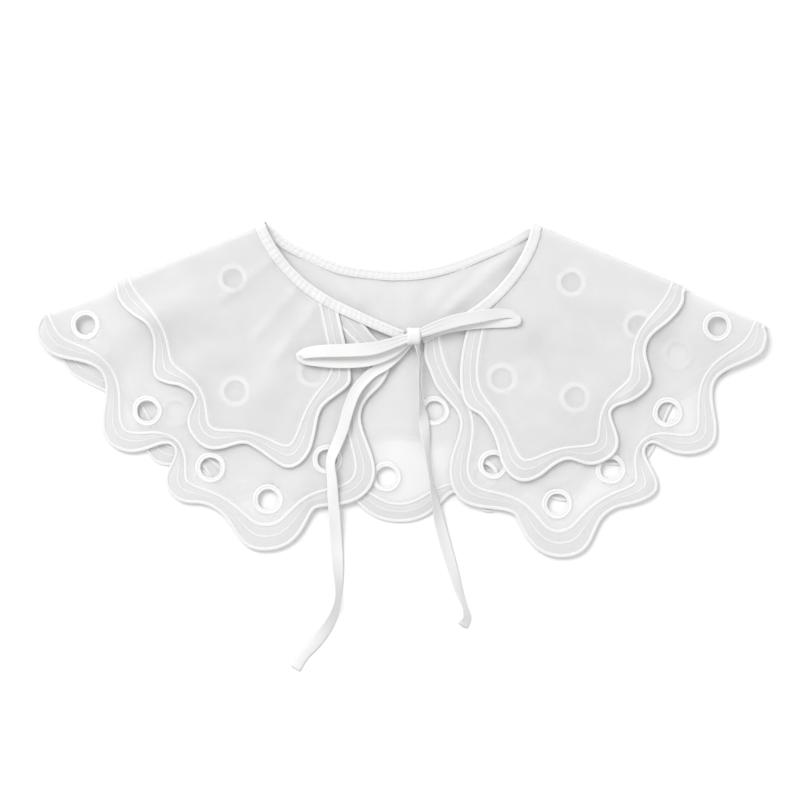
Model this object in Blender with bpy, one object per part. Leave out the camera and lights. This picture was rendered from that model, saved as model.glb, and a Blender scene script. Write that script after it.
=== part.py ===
"""Two-tier organza false collar, folded at the shoulders and laid flat, its ribbon ties in a bow.

The back lies face down on the floor and both fronts lie face up on it, so the layers are, from the
floor up: upper tier back, lower tier back, lower tier fronts, upper tier fronts, then the ribbon bow.
Places are polar: an angle from the centre front line and a radius from the centre of the hem arcs.
Sizes are in millimetres and are scaled to metres when a mesh is made.
"""
import math

import bmesh
import bpy
import numpy as np

METRES = 0.001
ARC_CENTRE = (-2.1, 187.4)
# Moves everything so that the middle of the whole stands at the origin
SHIFT = (-0.23, 0.95, 0.0)

# The cloth walls and how far apart they lie
WALL = 1.0
STITCH_RISE = 0.45
GAP = 0.6
PITCH = WALL + STITCH_RISE + GAP
FRONT_SPACING = 8.0
BACK_SPACING = 12.0
NORMAL_EVENING = 24.0
# The inner line follows the hem more softly, so it lies deeper in the lobes than in the notches
INNER_EVENING = 22.0
BINDING_COLUMNS = 20
BACK_BINDING_COLUMNS = 24
SEAM_GAP = 0.3
NECK_GAP = 0.85

# The embroidered border: a satin line on the edge and another inside it
EDGE_LINE = 2.8
INNER_LINE_START = 9.2
INNER_LINE_END = 12.0
BORDER_ROWS = (
    # inset from the edge, rise of the stitching
    (INNER_LINE_END, 0.0),
    (0.5 * (INNER_LINE_START + INNER_LINE_END), STITCH_RISE),
    (INNER_LINE_START, 0.0),
    (EDGE_LINE, 0.0),
    (0.6 * EDGE_LINE, STITCH_RISE),
    (0.0, STITCH_RISE),
)
FIELD_SHARES = (0.0, 0.36, 0.7)
INSIDE_ROWS = (0, 1, 2, 3, 8)

# The neck binding
BINDING_WIDTH = 7.0
BINDING_THICKNESS = PITCH + WALL

# Each shoulder fold runs from the neck corner to the tip of the lower tier
FOLDS = {
    # side: neck corner x, y, tip x, y
    -1: (-92.2, 146.6, -234.3, 88.7),
    1: (87.2, 145.8, 238.6, 81.6),
}
FOLD_RADIUS = 4.0
FOLD_LIFT = 2.6
FOLD_LIFT_WIDTH = 34.0
FOLD_STEPS = 3

# Beyond the back upper tier the back lower tier comes down to the floor
DROP_START = 212.0
DROP_END = 250.0

# Hems, a row for each crest and notch, from the shoulder fold to the centre front:
# angle, radius, heading (0 runs along the hem, -90 runs up the front edge), reach of the curve
HEMS = {
    ("lower", -1): (
        (62.2, 264.7, -11, 15),
        (54.1, 241.6, 9, 15),
        (44.9, 266.5, -12, 20),
        (38.5, 240.5, 4, 10),
        (34.6, 266.3, 14, 16),
        (27.6, 260.2, 7, 17),
        (18.6, 271.2, -23, 22),
        (13.8, 237.3, -62, 7),
        (5.1, 216.7, -61, 19),
        (8.6, 169.0, -92, 14),
        (2.9, 138.7, -76, 15),
        (10.6, 112.8, -130, 8),
    ),
    ("lower", 1): (
        (62.9, 270.2, 10, 18),
        (54.3, 254.8, 23, 15),
        (45.8, 276.0, -30, 22),
        (40.9, 249.1, 10, 10),
        (36.9, 276.6, -4, 16),
        (30.3, 270.2, 10, 13),
        (23.0, 283.9, -15, 19),
        (18.2, 249.3, -90, 13),
        (9.3, 220.6, -74, 20),
        (13.0, 177.1, -99, 11),
        (8.7, 146.8, -79, 12),
        (7.6, 123.4, -103, 10),
    ),
    ("upper", -1): (
        (58.3, 200.0, -29, 20),
        (47.3, 214.3, -26, 13),
        (42.2, 205.5, -9, 13),
        (36.4, 227.6, 15, 21),
        (27.7, 211.8, 2, 11),
        (21.2, 215.7, 9, 9),
        (17.0, 195.1, -91, 12),
        (17.3, 170.8, -75, 7),
        (12.4, 149.0, -87, 6),
        (22.6, 105.4, -123, 12),
    ),
    ("upper", 1): (
        (56.9, 203.5, -21, 25),
        (47.0, 222.2, -3, 16),
        (40.4, 215.9, 12, 7),
        (34.9, 239.8, -3, 19),
        (28.4, 225.1, -5, 11),
        (22.3, 227.7, -4, 11),
        (18.7, 202.8, -99, 13),
        (16.8, 173.3, -40, 5),
        (15.0, 154.8, -97, 12),
        (21.4, 120.3, -126, 10),
    ),
}
# The same for the back, from the fold to the centre back
BACK_HEMS = {
    "lower": (
        (57.8, 262.0, 0, 9),
        (48.5, 242.0, 0, 8),
        (39.3, 256.0, 0, 11),
        (33.0, 240.0, 0, 6),
        (27.0, 251.0, 0, 11),
        (20.8, 232.0, 0, 6),
        (14.8, 243.0, 0, 10),
        (9.3, 222.0, 0, 7),
        (0.0, 238.5, 0, 24),
    ),
    "upper": (
        (51.5, 193.0, 0, 7),
        (42.5, 204.0, 0, 11),
        (35.0, 188.0, 0, 6),
        (27.0, 198.0, 0, 11),
        (18.0, 178.0, 0, 6),
        (9.0, 190.0, 0, 9),
        (0.0, 183.0, 0, 8),
    ),
}
# Where each hem crosses the fold, as a radius
FOLD_HEM = {("lower", -1): 256.5, ("lower", 1): 261.5, ("upper", -1): 204.6, ("upper", 1): 206.6}

# Neck edges of the binding: angle, radius
NECKS = {
    -1: (
        (66.0, 98.0), (52.0, 99.0), (38.0, 100.0), (26.0, 100.8), (15.0, 102.6), (5.0, 107.5), (-1.6, 112.0),
    ),
    1: (
        (64.5, 97.0), (55.0, 100.5), (43.0, 104.0), (32.0, 107.0), (22.0, 109.5), (12.0, 112.0), (7.4, 114.5),
    ),
}
BACK_NECKS = {
    -1: ((66.0, 97.0), (53.0, 89.5), (42.0, 82.5), (29.0, 78.0), (15.0, 73.5), (0.0, 72.0)),
    1: ((64.5, 96.5), (53.0, 87.0), (42.0, 79.6), (30.0, 75.4), (15.0, 72.8), (0.0, 72.0)),
}
# Where a front's columns leave the neck: angle for the hem's front corner, angle for the last one.
# The tiers stop short of the ends of the binding, which go on alone as the ties
NECK_SPREAD = {
    ("lower", -1): (40.0, 28.0),
    ("lower", 1): (43.0, 24.0),
    ("upper", -1): (38.0, 33.0),
    ("upper", 1): (38.0, 32.0),
}
CORNER_HEADING = -45

# Soft flutes in the fronts: angle, inner radius, outer radius, width, height
FLUTES = {
    -1: (
        (57.0, 120.0, 250.0, 12.0, 2.0),
        (44.0, 140.0, 262.0, 13.0, 1.8),
        (30.0, 130.0, 225.0, 12.0, 1.2),
        (17.0, 185.0, 268.0, 10.0, 1.5),
    ),
    1: (
        (58.0, 130.0, 262.0, 12.0, 1.9),
        (46.0, 120.0, 215.0, 10.0, 1.4),
        (33.0, 125.0, 238.0, 13.0, 1.5),
        (21.0, 190.0, 280.0, 10.0, 1.3),
    ),
}

# Eyelets worked in the lower tier: angle, radius of the place, diameter of the hole
EYELETS = {
    -1: (
        (62.3, 233.2, 13.0),
        (45.2, 234.0, 13.5),
        (31.6, 237.5, 13.5),
        (21.2, 239.5, 13.5),
        (13.6, 202.5, 13.0),
        (35.5, 186.5, 14.0),
        (22.4, 151.0, 13.5),
        (54.7, 134.5, 13.0),
    ),
    1: (
        (62.4, 236.0, 13.0),
        (46.8, 242.5, 13.5),
        (34.4, 246.5, 13.5),
        (24.7, 249.0, 13.5),
        (17.1, 209.5, 13.0),
        (36.5, 194.0, 14.0),
        (25.2, 158.5, 14.0),
        (54.6, 138.5, 13.0),
        (55.3, 190.5, 13.0),
    ),
}
BACK_EYELETS = (
    (-58.6, 235.0, 13.0),
    (-41.8, 221.5, 13.5),
    (-22.5, 205.0, 13.0),
    (-2.4, 208.6, 13.5),
    (15.0, 214.0, 13.0),
    (35.5, 220.0, 13.0),
    (55.3, 223.0, 14.5),
    (8.0, 166.5, 13.0),
    (30.8, 163.8, 14.5),
)
EYELET_SIDES = 12
EYELET_RING = 3.4
SHOWN_EYELETS = 5

# The ribbon
RIBBON_WIDTH = 8.6
RIBBON_WALL = 1.0
TAIL_STEP = 6.0
LOOP_STEP = 4.5
KNOT_CENTRE = (6.9, 71.8)
KNOT_SIZE = (8.0, 12.5)
KNOT_LOW = 4.0
KNOT_HIGH = 14.2

# Ribbon routes: x, y, what lies under it, clearance from that, roll in degrees, share of the full width
ROUTES = {
    "bow_loop_left": (-1, (
        (0.9, 70.2, "upper", 3.3, 8, 0.62),
        (-5.5, 65.5, "upper", 3.9, 12, 0.86),
        (-20.0, 61.4, "upper", 4.6, 4, 1.0),
        (-38.0, 61.8, "upper", 4.7, -3, 1.0),
        (-55.0, 62.6, "upper", 4.3, -3, 1.0),
        (-64.5, 60.2, "upper", 3.6, 0, 1.0),
        (-67.6, 59.0, "upper", 2.3, 0, 0.94),
        (-64.5, 58.4, "upper", 1.0, 0, 1.0),
        (-55.0, 57.6, "upper", 0.6, 0, 1.0),
        (-38.0, 57.4, "upper", 0.5, 0, 1.0),
        (-20.0, 58.8, "upper", 0.5, 0, 1.0),
        (-6.0, 64.0, "upper", 0.3, 0, 0.86),
        (0.7, 69.0, "upper", -0.2, 0, 0.62),
    )),
    "bow_loop_right": (1, (
        (12.8, 72.4, "upper", 3.2, -8, 0.62),
        (20.0, 76.4, "upper", 3.5, -8, 0.9),
        (34.0, 80.8, "upper", 4.2, -4, 1.0),
        (50.0, 83.2, "upper", 4.6, 0, 1.0),
        (66.0, 84.2, "upper", 4.6, 4, 1.0),
        (76.0, 84.0, "upper", 4.0, 0, 1.0),
        (79.4, 83.4, "upper", 2.5, 0, 0.94),
        (76.0, 82.8, "upper", 1.0, 0, 1.0),
        (66.0, 83.4, "upper", 0.6, 0, 1.0),
        (50.0, 82.6, "upper", 0.5, 0, 1.0),
        (34.0, 79.4, "upper", 0.5, 0, 1.0),
        (20.0, 75.4, "upper", 0.3, 0, 0.86),
        (13.0, 71.6, "upper", -0.2, 0, 0.62),
    )),
    "tie_tail_left": (-1, (
        (4.4, 64.8, "back", 0.9, 16, 0.62),
        (-4.0, 58.6, "back", 1.2, 6, 0.74),
        (-11.0, 53.0, "lower", 0.4, 2, 0.8),
        (-20.8, 47.0, "lower", 0.5, 0, 0.8),
        (-30.0, 37.0, "upper", 0.4, 0, 0.84),
        (-35.0, 26.0, "upper", 0.5, 0, 0.86),
        (-39.6, 10.0, "upper", 0.4, 0, 0.86),
        (-43.6, 0.0, "lower", 1.5, -8, 0.86),
        (-47.6, -10.0, "lower", 0.5, -30, 0.86),
        (-46.6, -23.0, "lower", 0.4, -24, 0.86),
        (-45.6, -38.0, "lower", 0.4, 0, 0.86),
        (-44.8, -48.0, "lower", 0.2, 0, 0.86),
        (-43.6, -66.0, "floor", 1.0, 0, 0.86),
        (-42.8, -80.0, "floor", 0.3, 20, 0.86),
        (-42.6, -100.0, "floor", 0.3, 58, 0.86),
        (-46.0, -113.0, "floor", 0.3, 40, 0.86),
        (-55.6, -128.0, "floor", 0.3, 8, 0.86),
        (-66.0, -139.0, "floor", 0.3, 0, 0.86),
        (-71.0, -147.6, "floor", 0.3, 0, 0.8),
    )),
    "tie_tail_right": (1, (
        (9.6, 64.7, "back", 1.6, 60, 0.62),
        (11.2, 57.0, "back", 0.5, 74, 0.8),
        (10.8, 42.0, "back", 0.4, 78, 0.86),
        (12.0, 28.0, "back", 0.4, 66, 0.86),
        (13.8, 16.0, "back", 0.4, 24, 0.86),
        (15.2, 4.0, "back", 0.4, 40, 0.86),
        (17.0, -10.0, "back", 0.4, 64, 0.86),
        (19.2, -24.0, "back", 0.4, 66, 0.86),
        (21.6, -38.0, "back", 0.5, 44, 0.86),
        (24.6, -52.0, "floor", 1.2, 24, 0.86),
        (28.4, -66.0, "floor", 0.3, 20, 0.86),
        (33.0, -82.0, "floor", 0.3, 28, 0.86),
        (37.2, -96.0, "floor", 0.3, 48, 0.86),
        (41.4, -108.0, "floor", 0.3, 64, 0.86),
        (42.4, -114.0, "floor", 0.3, 44, 0.86),
        (39.6, -119.4, "floor", 0.3, 14, 0.8),
    )),
}

ORGANZA = (0.83, 0.84, 0.85)
BINDING_CLOTH = (0.90, 0.91, 0.92)
RIBBON_CLOTH = (0.93, 0.935, 0.94)


def clear_scene():
    for old in list(bpy.data.objects):
        bpy.data.objects.remove(old)


def cloth_material(name, colour, roughness):
    material = bpy.data.materials.new(name)
    material.use_nodes = True
    shader = material.node_tree.nodes["Principled BSDF"]
    shader.inputs["Base Color"].default_value = (*colour, 1.0)
    shader.inputs["Roughness"].default_value = roughness
    shader.inputs["Metallic"].default_value = 0.0
    return material


def polar(side, angle, radius):
    """Places on the plan, from an angle to the centre front line and a radius."""
    turn = np.radians(angle)
    x = ARC_CENTRE[0] + side * radius * np.sin(turn)
    y = ARC_CENTRE[1] - radius * np.cos(turn)
    return np.stack([x, y], axis=-1)


def heading_vector(side, angle, heading):
    turn = math.radians(angle)
    lean = math.radians(heading)
    along = np.array([-math.cos(turn), -math.sin(turn)])
    outward = np.array([math.sin(turn), -math.cos(turn)])
    vector = math.cos(lean) * along + math.sin(lean) * outward
    return vector * (side, 1.0)


def fold_axis(side):
    """The line that the cloth bends about: a point, the way to the tip and the way out."""
    corner_x, corner_y, tip_x, tip_y = FOLDS[side]
    corner = np.array([corner_x, corner_y])
    along = np.array([tip_x, tip_y]) - corner
    along /= np.linalg.norm(along)
    outward = np.array([-along[1], along[0]]) * -side
    if outward[1] < 0:
        outward = -outward
    return corner - outward * (FOLD_RADIUS + 0.5 * WALL), along, outward


def on_fold(side, radius):
    """The place on the fold at this radius from the centre of the hem arcs."""
    start, along, _ = fold_axis(side)
    from_centre = start - ARC_CENTRE
    half = from_centre @ along
    return start + along * (-half + math.sqrt(half * half - from_centre @ from_centre + radius * radius))


def bezier(start, start_pull, end, end_pull, steps=24):
    t = np.linspace(0.0, 1.0, steps, endpoint=False)[:, None]
    one = start + start_pull
    two = end - end_pull
    return (1 - t) ** 3 * start + 3 * (1 - t) ** 2 * t * one + 3 * (1 - t) * t ** 2 * two + t ** 3 * end


def hem_curve(rows, side, first, first_reach=4.0):
    """A smooth curve through the crests and notches of a hem, from the fold."""
    outward = fold_axis(side)[2]
    knots = [(first, -outward * first_reach)]
    for angle, radius, heading, reach in rows:
        knots.append((polar(side, angle, radius), heading_vector(side, angle, heading) * reach))
    pieces = [bezier(a, pull_a, b, pull_b) for (a, pull_a), (b, pull_b) in zip(knots, knots[1:])]
    return np.concatenate(pieces + [knots[-1][0][None]])


def evenly(curve, count):
    steps = np.linalg.norm(np.diff(curve, axis=0), axis=1)
    length = np.concatenate([[0.0], np.cumsum(steps)])
    at = np.linspace(0.0, length[-1], count)
    return np.stack([np.interp(at, length, curve[:, axis]) for axis in range(curve.shape[1])], axis=1)


def curve_length(curve):
    return float(np.linalg.norm(np.diff(curve, axis=0), axis=1).sum())


def mirrored(vectors, across):
    """Vectors turned over at a plane whose normal is given."""
    return vectors - 2 * (vectors @ across)[:, None] * across


def evened(values, before, after):
    """A running average, weighted to its middle, with what goes on before and after."""
    padded = np.concatenate([before, values, after])
    window = np.hanning(2 * len(before) + 3)[1:-1]
    window /= window.sum()
    return np.stack([np.convolve(padded[:, axis], window, mode="valid") for axis in range(2)], axis=1)


def inward(curve, inner_point, mirrors, reach):
    """Unit normals of a hem, towards the cloth, evened out over a few millimetres.

    A mirror is the way out of a fold at the start or end of the hem, across which the hem goes on.
    """
    tangent = np.gradient(curve, axis=0)
    normal = np.stack([-tangent[:, 1], tangent[:, 0]], axis=1)
    middle = len(curve) // 3
    if normal[middle] @ (inner_point - curve[middle]) < 0:
        normal = -normal
    normal /= np.linalg.norm(normal, axis=1)[:, None]
    count = round(reach * len(curve) / curve_length(curve))
    start, end = mirrors
    before = mirrored(normal[count:0:-1], start) if start is not None else normal[:1].repeat(count, 0)
    after = mirrored(normal[-2:-count - 2:-1], end) if end is not None else normal[-1:].repeat(count, 0)
    normal = evened(normal, before, after)
    return normal / np.linalg.norm(normal, axis=1)[:, None]


def softened(curve, mirrors, reach):
    """The hem with its lobes and notches evened out over a reach, across the folds at its ends."""
    count = round(reach * len(curve) / curve_length(curve))
    start, end = mirrors
    before = curve[count:0:-1] - curve[0]
    after = curve[-2:-count - 2:-1] - curve[-1]
    before = curve[0] + (mirrored(before, start) if start is not None else -before)
    after = curve[-1] + (mirrored(after, end) if end is not None else -after)
    return evened(curve, before, after)


def through(rows, at):
    """A smooth value through a short table of (place, value) rows."""
    places = np.array([row[0] for row in rows], dtype=float)
    values = np.array([row[1] for row in rows], dtype=float)
    order = np.argsort(places)
    places = places[order]
    values = values[order]
    slopes = np.gradient(values, places)
    at = np.clip(at, places[0], places[-1])
    index = np.clip(np.searchsorted(places, at) - 1, 0, len(places) - 2)
    width = places[index + 1] - places[index]
    t = (at - places[index]) / width
    start = (1 + 2 * t) * (1 - t) ** 2 * values[index] + t * (1 - t) ** 2 * width * slopes[index]
    end = t * t * (3 - 2 * t) * values[index + 1] + t * t * (t - 1) * width * slopes[index + 1]
    return start + end


def smooth_step(value):
    value = np.clip(value, 0.0, 1.0)
    return value * value * (3 - 2 * value)


def from_centre(place):
    return np.linalg.norm(place - ARC_CENTRE, axis=-1)


def angle_from_front(place, side):
    return np.degrees(np.arctan2(side * (place[..., 0] - ARC_CENTRE[0]), ARC_CENTRE[1] - place[..., 1]))


def back_height(tier, place):
    """Height of the middle of a back tier over the floor."""
    low = np.full(place.shape[:-1], 0.5 * WALL)
    if tier == "upper":
        return low
    radius = from_centre(place)
    return low + PITCH * (1 - smooth_step((radius - DROP_START) / (DROP_END - DROP_START)))


def flute_height(side, place):
    radius = from_centre(place)
    angle = angle_from_front(place, side)
    rise = np.zeros(place.shape[:-1])
    for middle, inner, outer, width, height in FLUTES[side]:
        across = np.radians(angle - middle) * radius / width
        run = (radius - inner) / (outer - inner)
        rise += height * np.exp(-across ** 2) * np.sin(np.pi * np.clip(run, 0, 1)) ** 1.5
    return rise


def front_height(tier, side, place):
    """Height of the middle of a front tier, raised where the cloth rolls over at the shoulder."""
    start, _, outward = fold_axis(side)
    reach = (start - place) @ outward
    lift = FOLD_LIFT * np.exp(-(np.clip(reach, 0, None) / FOLD_LIFT_WIDTH) ** 2)
    height = back_height("lower", place) + PITCH + lift + flute_height(side, place)
    if tier == "upper":
        height = height + PITCH
    return height


def plan_rows(neck, hem, mirrors):
    """Rows of places from the neck edge out to the hem, columns along the hem."""
    dense = evenly(hem, 6 * len(neck) + 1)
    pick = np.linspace(0, len(dense) - 1, len(neck)).round().astype(int)
    toward = inward(dense, neck.mean(axis=0), mirrors, NORMAL_EVENING)[pick]
    soft = softened(dense, mirrors, INNER_EVENING)[pick]
    edge = dense[pick]
    inner = soft + toward * BORDER_ROWS[0][0]
    rows = [neck + (inner - neck) * share for share in FIELD_SHARES]
    for inset, _ in BORDER_ROWS:
        rows.append((soft if inset > EDGE_LINE else edge) + toward * inset)
    rises = [0.0] * len(FIELD_SHARES) + [rise for _, rise in BORDER_ROWS]
    return np.array(rows), np.array(rises)


def settle_on_fold(plan, side, column):
    """Puts one column of the plan exactly on the line of the fold."""
    start, along, _ = fold_axis(side)
    reach = (plan[:, column] - start) @ along
    plan[:, column] = start + reach[:, None] * along


def bend(place, low, high, side, from_top):
    """Columns of cloth that roll over at the fold: places, heights and normals."""
    outward = fold_axis(side)[2]
    radius = 0.5 * (high - low)
    middle = 0.5 * (high + low)
    part = 0.5 * SEAM_GAP / float(radius.min())
    if from_top:
        turns = np.linspace(math.pi / 2 - part, 0.0, FOLD_STEPS + 1)[:-1]
    else:
        turns = np.linspace(math.pi / 2 + part, math.pi, FOLD_STEPS + 1)[:-1]
    points = []
    normals = []
    for turn in turns:
        out = place + outward * (radius * math.sin(turn))[:, None]
        up = middle + radius * math.cos(turn)
        points.append(np.concatenate([out, up[:, None]], axis=1))
        normal = np.array([*(outward * math.sin(turn)), math.cos(turn)])
        normals.append(np.tile(normal if from_top else -normal, (len(place), 1)))
    return np.stack(points, axis=1), np.stack(normals, axis=1)


def standing(plan, heights):
    """A plan with its heights, and upright normals."""
    points = np.concatenate([plan, heights[..., None]], axis=-1)
    normals = np.zeros_like(points)
    normals[..., 2] = 1.0
    return points, normals


def cloth_wall(name, points, normals, rises, thickness, inside_rows, material):
    """A closed wall round a middle surface; the stitching is raised on its upper face only."""
    upper = points + normals * (0.5 * thickness + rises[:, None, None])
    lower = (points - normals * (0.5 * thickness))[list(inside_rows)]
    row_count, column_count = upper.shape[:2]
    lower_start = row_count * column_count
    vertices = np.concatenate([upper.reshape(-1, 3), lower.reshape(-1, 3)])

    def top(row, column):
        return row * column_count + column

    def under(row, column):
        return lower_start + row * column_count + column

    faces = []
    for column in range(column_count - 1):
        for row in range(row_count - 1):
            faces.append((top(row, column), top(row + 1, column),
                          top(row + 1, column + 1), top(row, column + 1)))
        for row in range(len(inside_rows) - 1):
            faces.append((under(row, column + 1), under(row + 1, column + 1),
                          under(row + 1, column), under(row, column)))
        last = len(inside_rows) - 1
        faces.append((top(0, column + 1), under(0, column + 1), under(0, column), top(0, column)))
        faces.append((top(row_count - 1, column), under(last, column), under(last, column + 1),
                      top(row_count - 1, column + 1)))
    for row, (start, end) in enumerate(zip(inside_rows, inside_rows[1:])):
        first = [top(index, 0) for index in range(start, end + 1)]
        far = [top(index, column_count - 1) for index in range(start, end + 1)]
        faces.append((*reversed(first), under(row, 0), under(row + 1, 0)))
        faces.append((*far, under(row + 1, column_count - 1), under(row, column_count - 1)))
    return solid(name, vertices, faces, material)


def solid(name, vertices, faces, material, smooth=True):
    mesh = bpy.data.meshes.new(name)
    mesh.from_pydata(((np.asarray(vertices) + SHIFT) * METRES).tolist(), [], faces)
    work = bmesh.new()
    work.from_mesh(mesh)
    bmesh.ops.recalc_face_normals(work, faces=work.faces)
    bmesh.ops.triangulate(work, faces=[face for face in work.faces if len(face.verts) > 4])
    work.to_mesh(mesh)
    work.free()
    if smooth:
        mesh.shade_smooth()
        mesh.set_sharp_from_angle(angle=math.radians(40))
    mesh.materials.append(material)
    made = bpy.data.objects.new(name, mesh)
    bpy.context.scene.collection.objects.link(made)
    return made


def stacked_discs(name, places, radii, height_of, below, above):
    """Prisms joined in one mesh, each from under to over the cloth at its place, following its slope."""
    turns = np.linspace(0.0, 2 * math.pi, EYELET_SIDES, endpoint=False)
    vertices = []
    faces = []
    for place, radius in zip(places, radii):
        rim = place + radius * np.stack([np.cos(turns), np.sin(turns)], axis=1)
        for level in (-below, above):
            first = len(vertices)
            spots = np.concatenate([rim, place[None]])
            heights = height_of(spots) + level
            vertices += np.concatenate([spots, heights[:, None]], axis=1).tolist()
            for side in range(EYELET_SIDES):
                after = (side + 1) % EYELET_SIDES
                faces.append((first + side, first + after, first + EYELET_SIDES))
        for side in range(EYELET_SIDES):
            after = (side + 1) % EYELET_SIDES
            under = first - EYELET_SIDES - 1
            faces.append((under + side, under + after, first + after, first + side))
    made = solid(name, vertices, faces, cloth_material(name, ORGANZA, 0.5), smooth=False)
    made.hide_render = True
    made.display_type = "WIRE"
    return made


def apply_boolean(target, tool, operation):
    change = target.modifiers.new(operation.lower(), "BOOLEAN")
    change.object = tool
    change.operation = operation
    change.solver = "EXACT"


def work_eyelets(target, rows, side, height_of, raised_count):
    """Cuts each eyelet through the cloth, and raises the stitched rings of those that show."""
    places = np.array([polar(side, angle, radius) for angle, radius, _ in rows])
    holes = [0.5 * diameter for _, _, diameter in rows]
    rings = [hole + EYELET_RING for hole in holes]
    cut = stacked_discs(f"{target.name}_holes", places, holes, height_of, 2.0 * WALL, 2.0 * WALL)
    if raised_count:
        reach = (0.2 * WALL, 0.5 * WALL + STITCH_RISE)
        raised = stacked_discs(f"{target.name}_rings", places[:raised_count], rings, height_of, *reach)
        apply_boolean(target, raised, "UNION")
    apply_boolean(target, cut, "DIFFERENCE")


def neck_line(side, rows, setback, angles):
    """The neck edge at these angles, from the fold on, set back from the binding's own edge."""
    corner = on_fold(side, rows[0][1] + setback)
    line = polar(side, angles, through(rows, angles) + setback)
    line[0] = corner
    return line


def neck_start(side, rows, setback):
    return float(angle_from_front(on_fold(side, rows[0][1] + setback), side))


def follow_neck(plan, side, setback):
    """Keeps the last column of a front, which runs along the neck, clear of the binding."""
    last = plan[:, -1]
    angles = angle_from_front(last, side)
    radii = np.maximum(from_centre(last), through(NECKS[side], angles) + setback)
    plan[:, -1] = polar(side, angles, radii)


def front_neck_angles(tier, side, hem, count, setback):
    """Angles of a front's columns at the neck: evenly to the hem's front corner, then gathered."""
    corner_row = next(row for row in HEMS[tier, side] if row[2] <= CORNER_HEADING)
    corner = polar(side, corner_row[0], corner_row[1])
    dense = evenly(hem, 4 * count)
    share = float(np.argmin(np.linalg.norm(dense - corner, axis=1))) / (4 * count)
    at_corner, at_end = NECK_SPREAD[tier, side]
    start = neck_start(side, NECKS[side], setback)
    t = np.linspace(0.0, 1.0, count)
    hem_part = start + (at_corner - start) * t / share
    edge_part = at_corner + (at_end - at_corner) * (np.clip(t - share, 0, None) / (1 - share)) ** 3
    return np.where(t < share, hem_part, edge_part)


def front_tier(tier, side, material):
    """One front of a tier: it starts at the seam in the fold and lies face up."""
    hem = hem_curve(HEMS[tier, side], side, on_fold(side, FOLD_HEM[tier, side]))
    count = round(curve_length(hem) / FRONT_SPACING)
    setback = BINDING_WIDTH + NECK_GAP
    neck = neck_line(side, NECKS[side], setback, front_neck_angles(tier, side, hem, count, setback))
    plan, rises = plan_rows(neck, hem, (fold_axis(side)[2], None))
    settle_on_fold(plan, side, 0)
    follow_neck(plan, side, setback)
    heights = front_height(tier, side, plan)
    points, normals = standing(plan, heights)
    low = back_height(tier, plan[:, 0])
    roll, roll_normals = bend(plan[:, 0], low, heights[:, 0], side, True)
    points = np.concatenate([roll, points], axis=1)
    normals = np.concatenate([roll_normals, normals], axis=1)
    name = f"{tier}_tier_{'left' if side < 0 else 'right'}_front"
    made = cloth_wall(name, points, normals, rises, WALL, INSIDE_ROWS, material)
    if tier == "lower":
        work_eyelets(made, EYELETS[side], side, lambda place: front_height(tier, side, place), SHOWN_EYELETS)
    return made


def back_neck_line(setback, count):
    """The whole neck edge of the back, from the left fold to the right one."""
    halves = []
    for side in (-1, 1):
        rows = BACK_NECKS[side]
        angles = np.linspace(neck_start(side, rows, setback), 0.0, count // 2 + 1)
        halves.append(neck_line(side, rows, setback, angles))
    return np.concatenate([halves[0], halves[1][-2::-1]])


def back_tier(tier, material):
    """The back of a tier: it lies face down, from one shoulder seam to the other."""
    halves = []
    for side in (-1, 1):
        hem = hem_curve(BACK_HEMS[tier], side, on_fold(side, FOLD_HEM[tier, side]))
        halves.append(hem)
    hem = np.concatenate([halves[0], halves[1][-2::-1]])
    count = round(curve_length(hem) / BACK_SPACING)
    neck = evenly(back_neck_line(BINDING_WIDTH + NECK_GAP, count), count)
    plan, rises = plan_rows(neck, hem, (fold_axis(-1)[2], fold_axis(1)[2]))
    settle_on_fold(plan, -1, 0)
    settle_on_fold(plan, 1, count - 1)
    heights = back_height(tier, plan)
    points, normals = standing(plan, heights)
    if tier == "upper":
        rises = rises * 0.0
    for side, column in ((-1, 0), (1, -1)):
        high = front_height(tier, side, plan[:, column])
        roll, roll_normals = bend(plan[:, column], heights[:, column], high, side, False)
        if side < 0:
            points = np.concatenate([roll, points], axis=1)
            normals = np.concatenate([roll_normals, normals], axis=1)
        else:
            points = np.concatenate([points, roll[:, ::-1]], axis=1)
            normals = np.concatenate([normals, roll_normals[:, ::-1]], axis=1)
    made = cloth_wall(f"{tier}_tier_back", points, normals, rises, WALL, INSIDE_ROWS, material)
    if tier == "lower":
        work_eyelets(made, BACK_EYELETS, 1, lambda place: back_height(tier, place), 0)
    return made


def binding_height(side, place, front):
    if front:
        return 0.5 * (front_height("lower", side, place) + front_height("upper", side, place))
    return np.full(place.shape[:-1], 0.5 * BINDING_THICKNESS)


def binding_rows(edge, side_of_cloth):
    """Rows across the binding, with its two long edges rounded."""
    shares = (0.0, 0.16, 0.84, 1.0)
    return np.array([edge + side_of_cloth * BINDING_WIDTH * share for share in shares])


def rounded_band(name, points, normals, material):
    """A closed band whose rows across are rounded at both long edges."""
    depth = np.array([0.28, 0.5, 0.5, 0.28])[:, None, None] * BINDING_THICKNESS
    upper = points + normals * depth
    lower = points - normals * depth
    ring = np.concatenate([upper, lower[::-1]], axis=0)
    ring_count, column_count = ring.shape[:2]
    faces = []
    for column in range(column_count - 1):
        for row in range(ring_count):
            after = (row + 1) % ring_count
            faces.append((row * column_count + column, after * column_count + column,
                          after * column_count + column + 1, row * column_count + column + 1))
    faces.append(tuple(row * column_count for row in range(ring_count)))
    faces.append(tuple(row * column_count + column_count - 1 for row in reversed(range(ring_count))))
    return solid(name, ring.reshape(-1, 3), faces, material)


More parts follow.
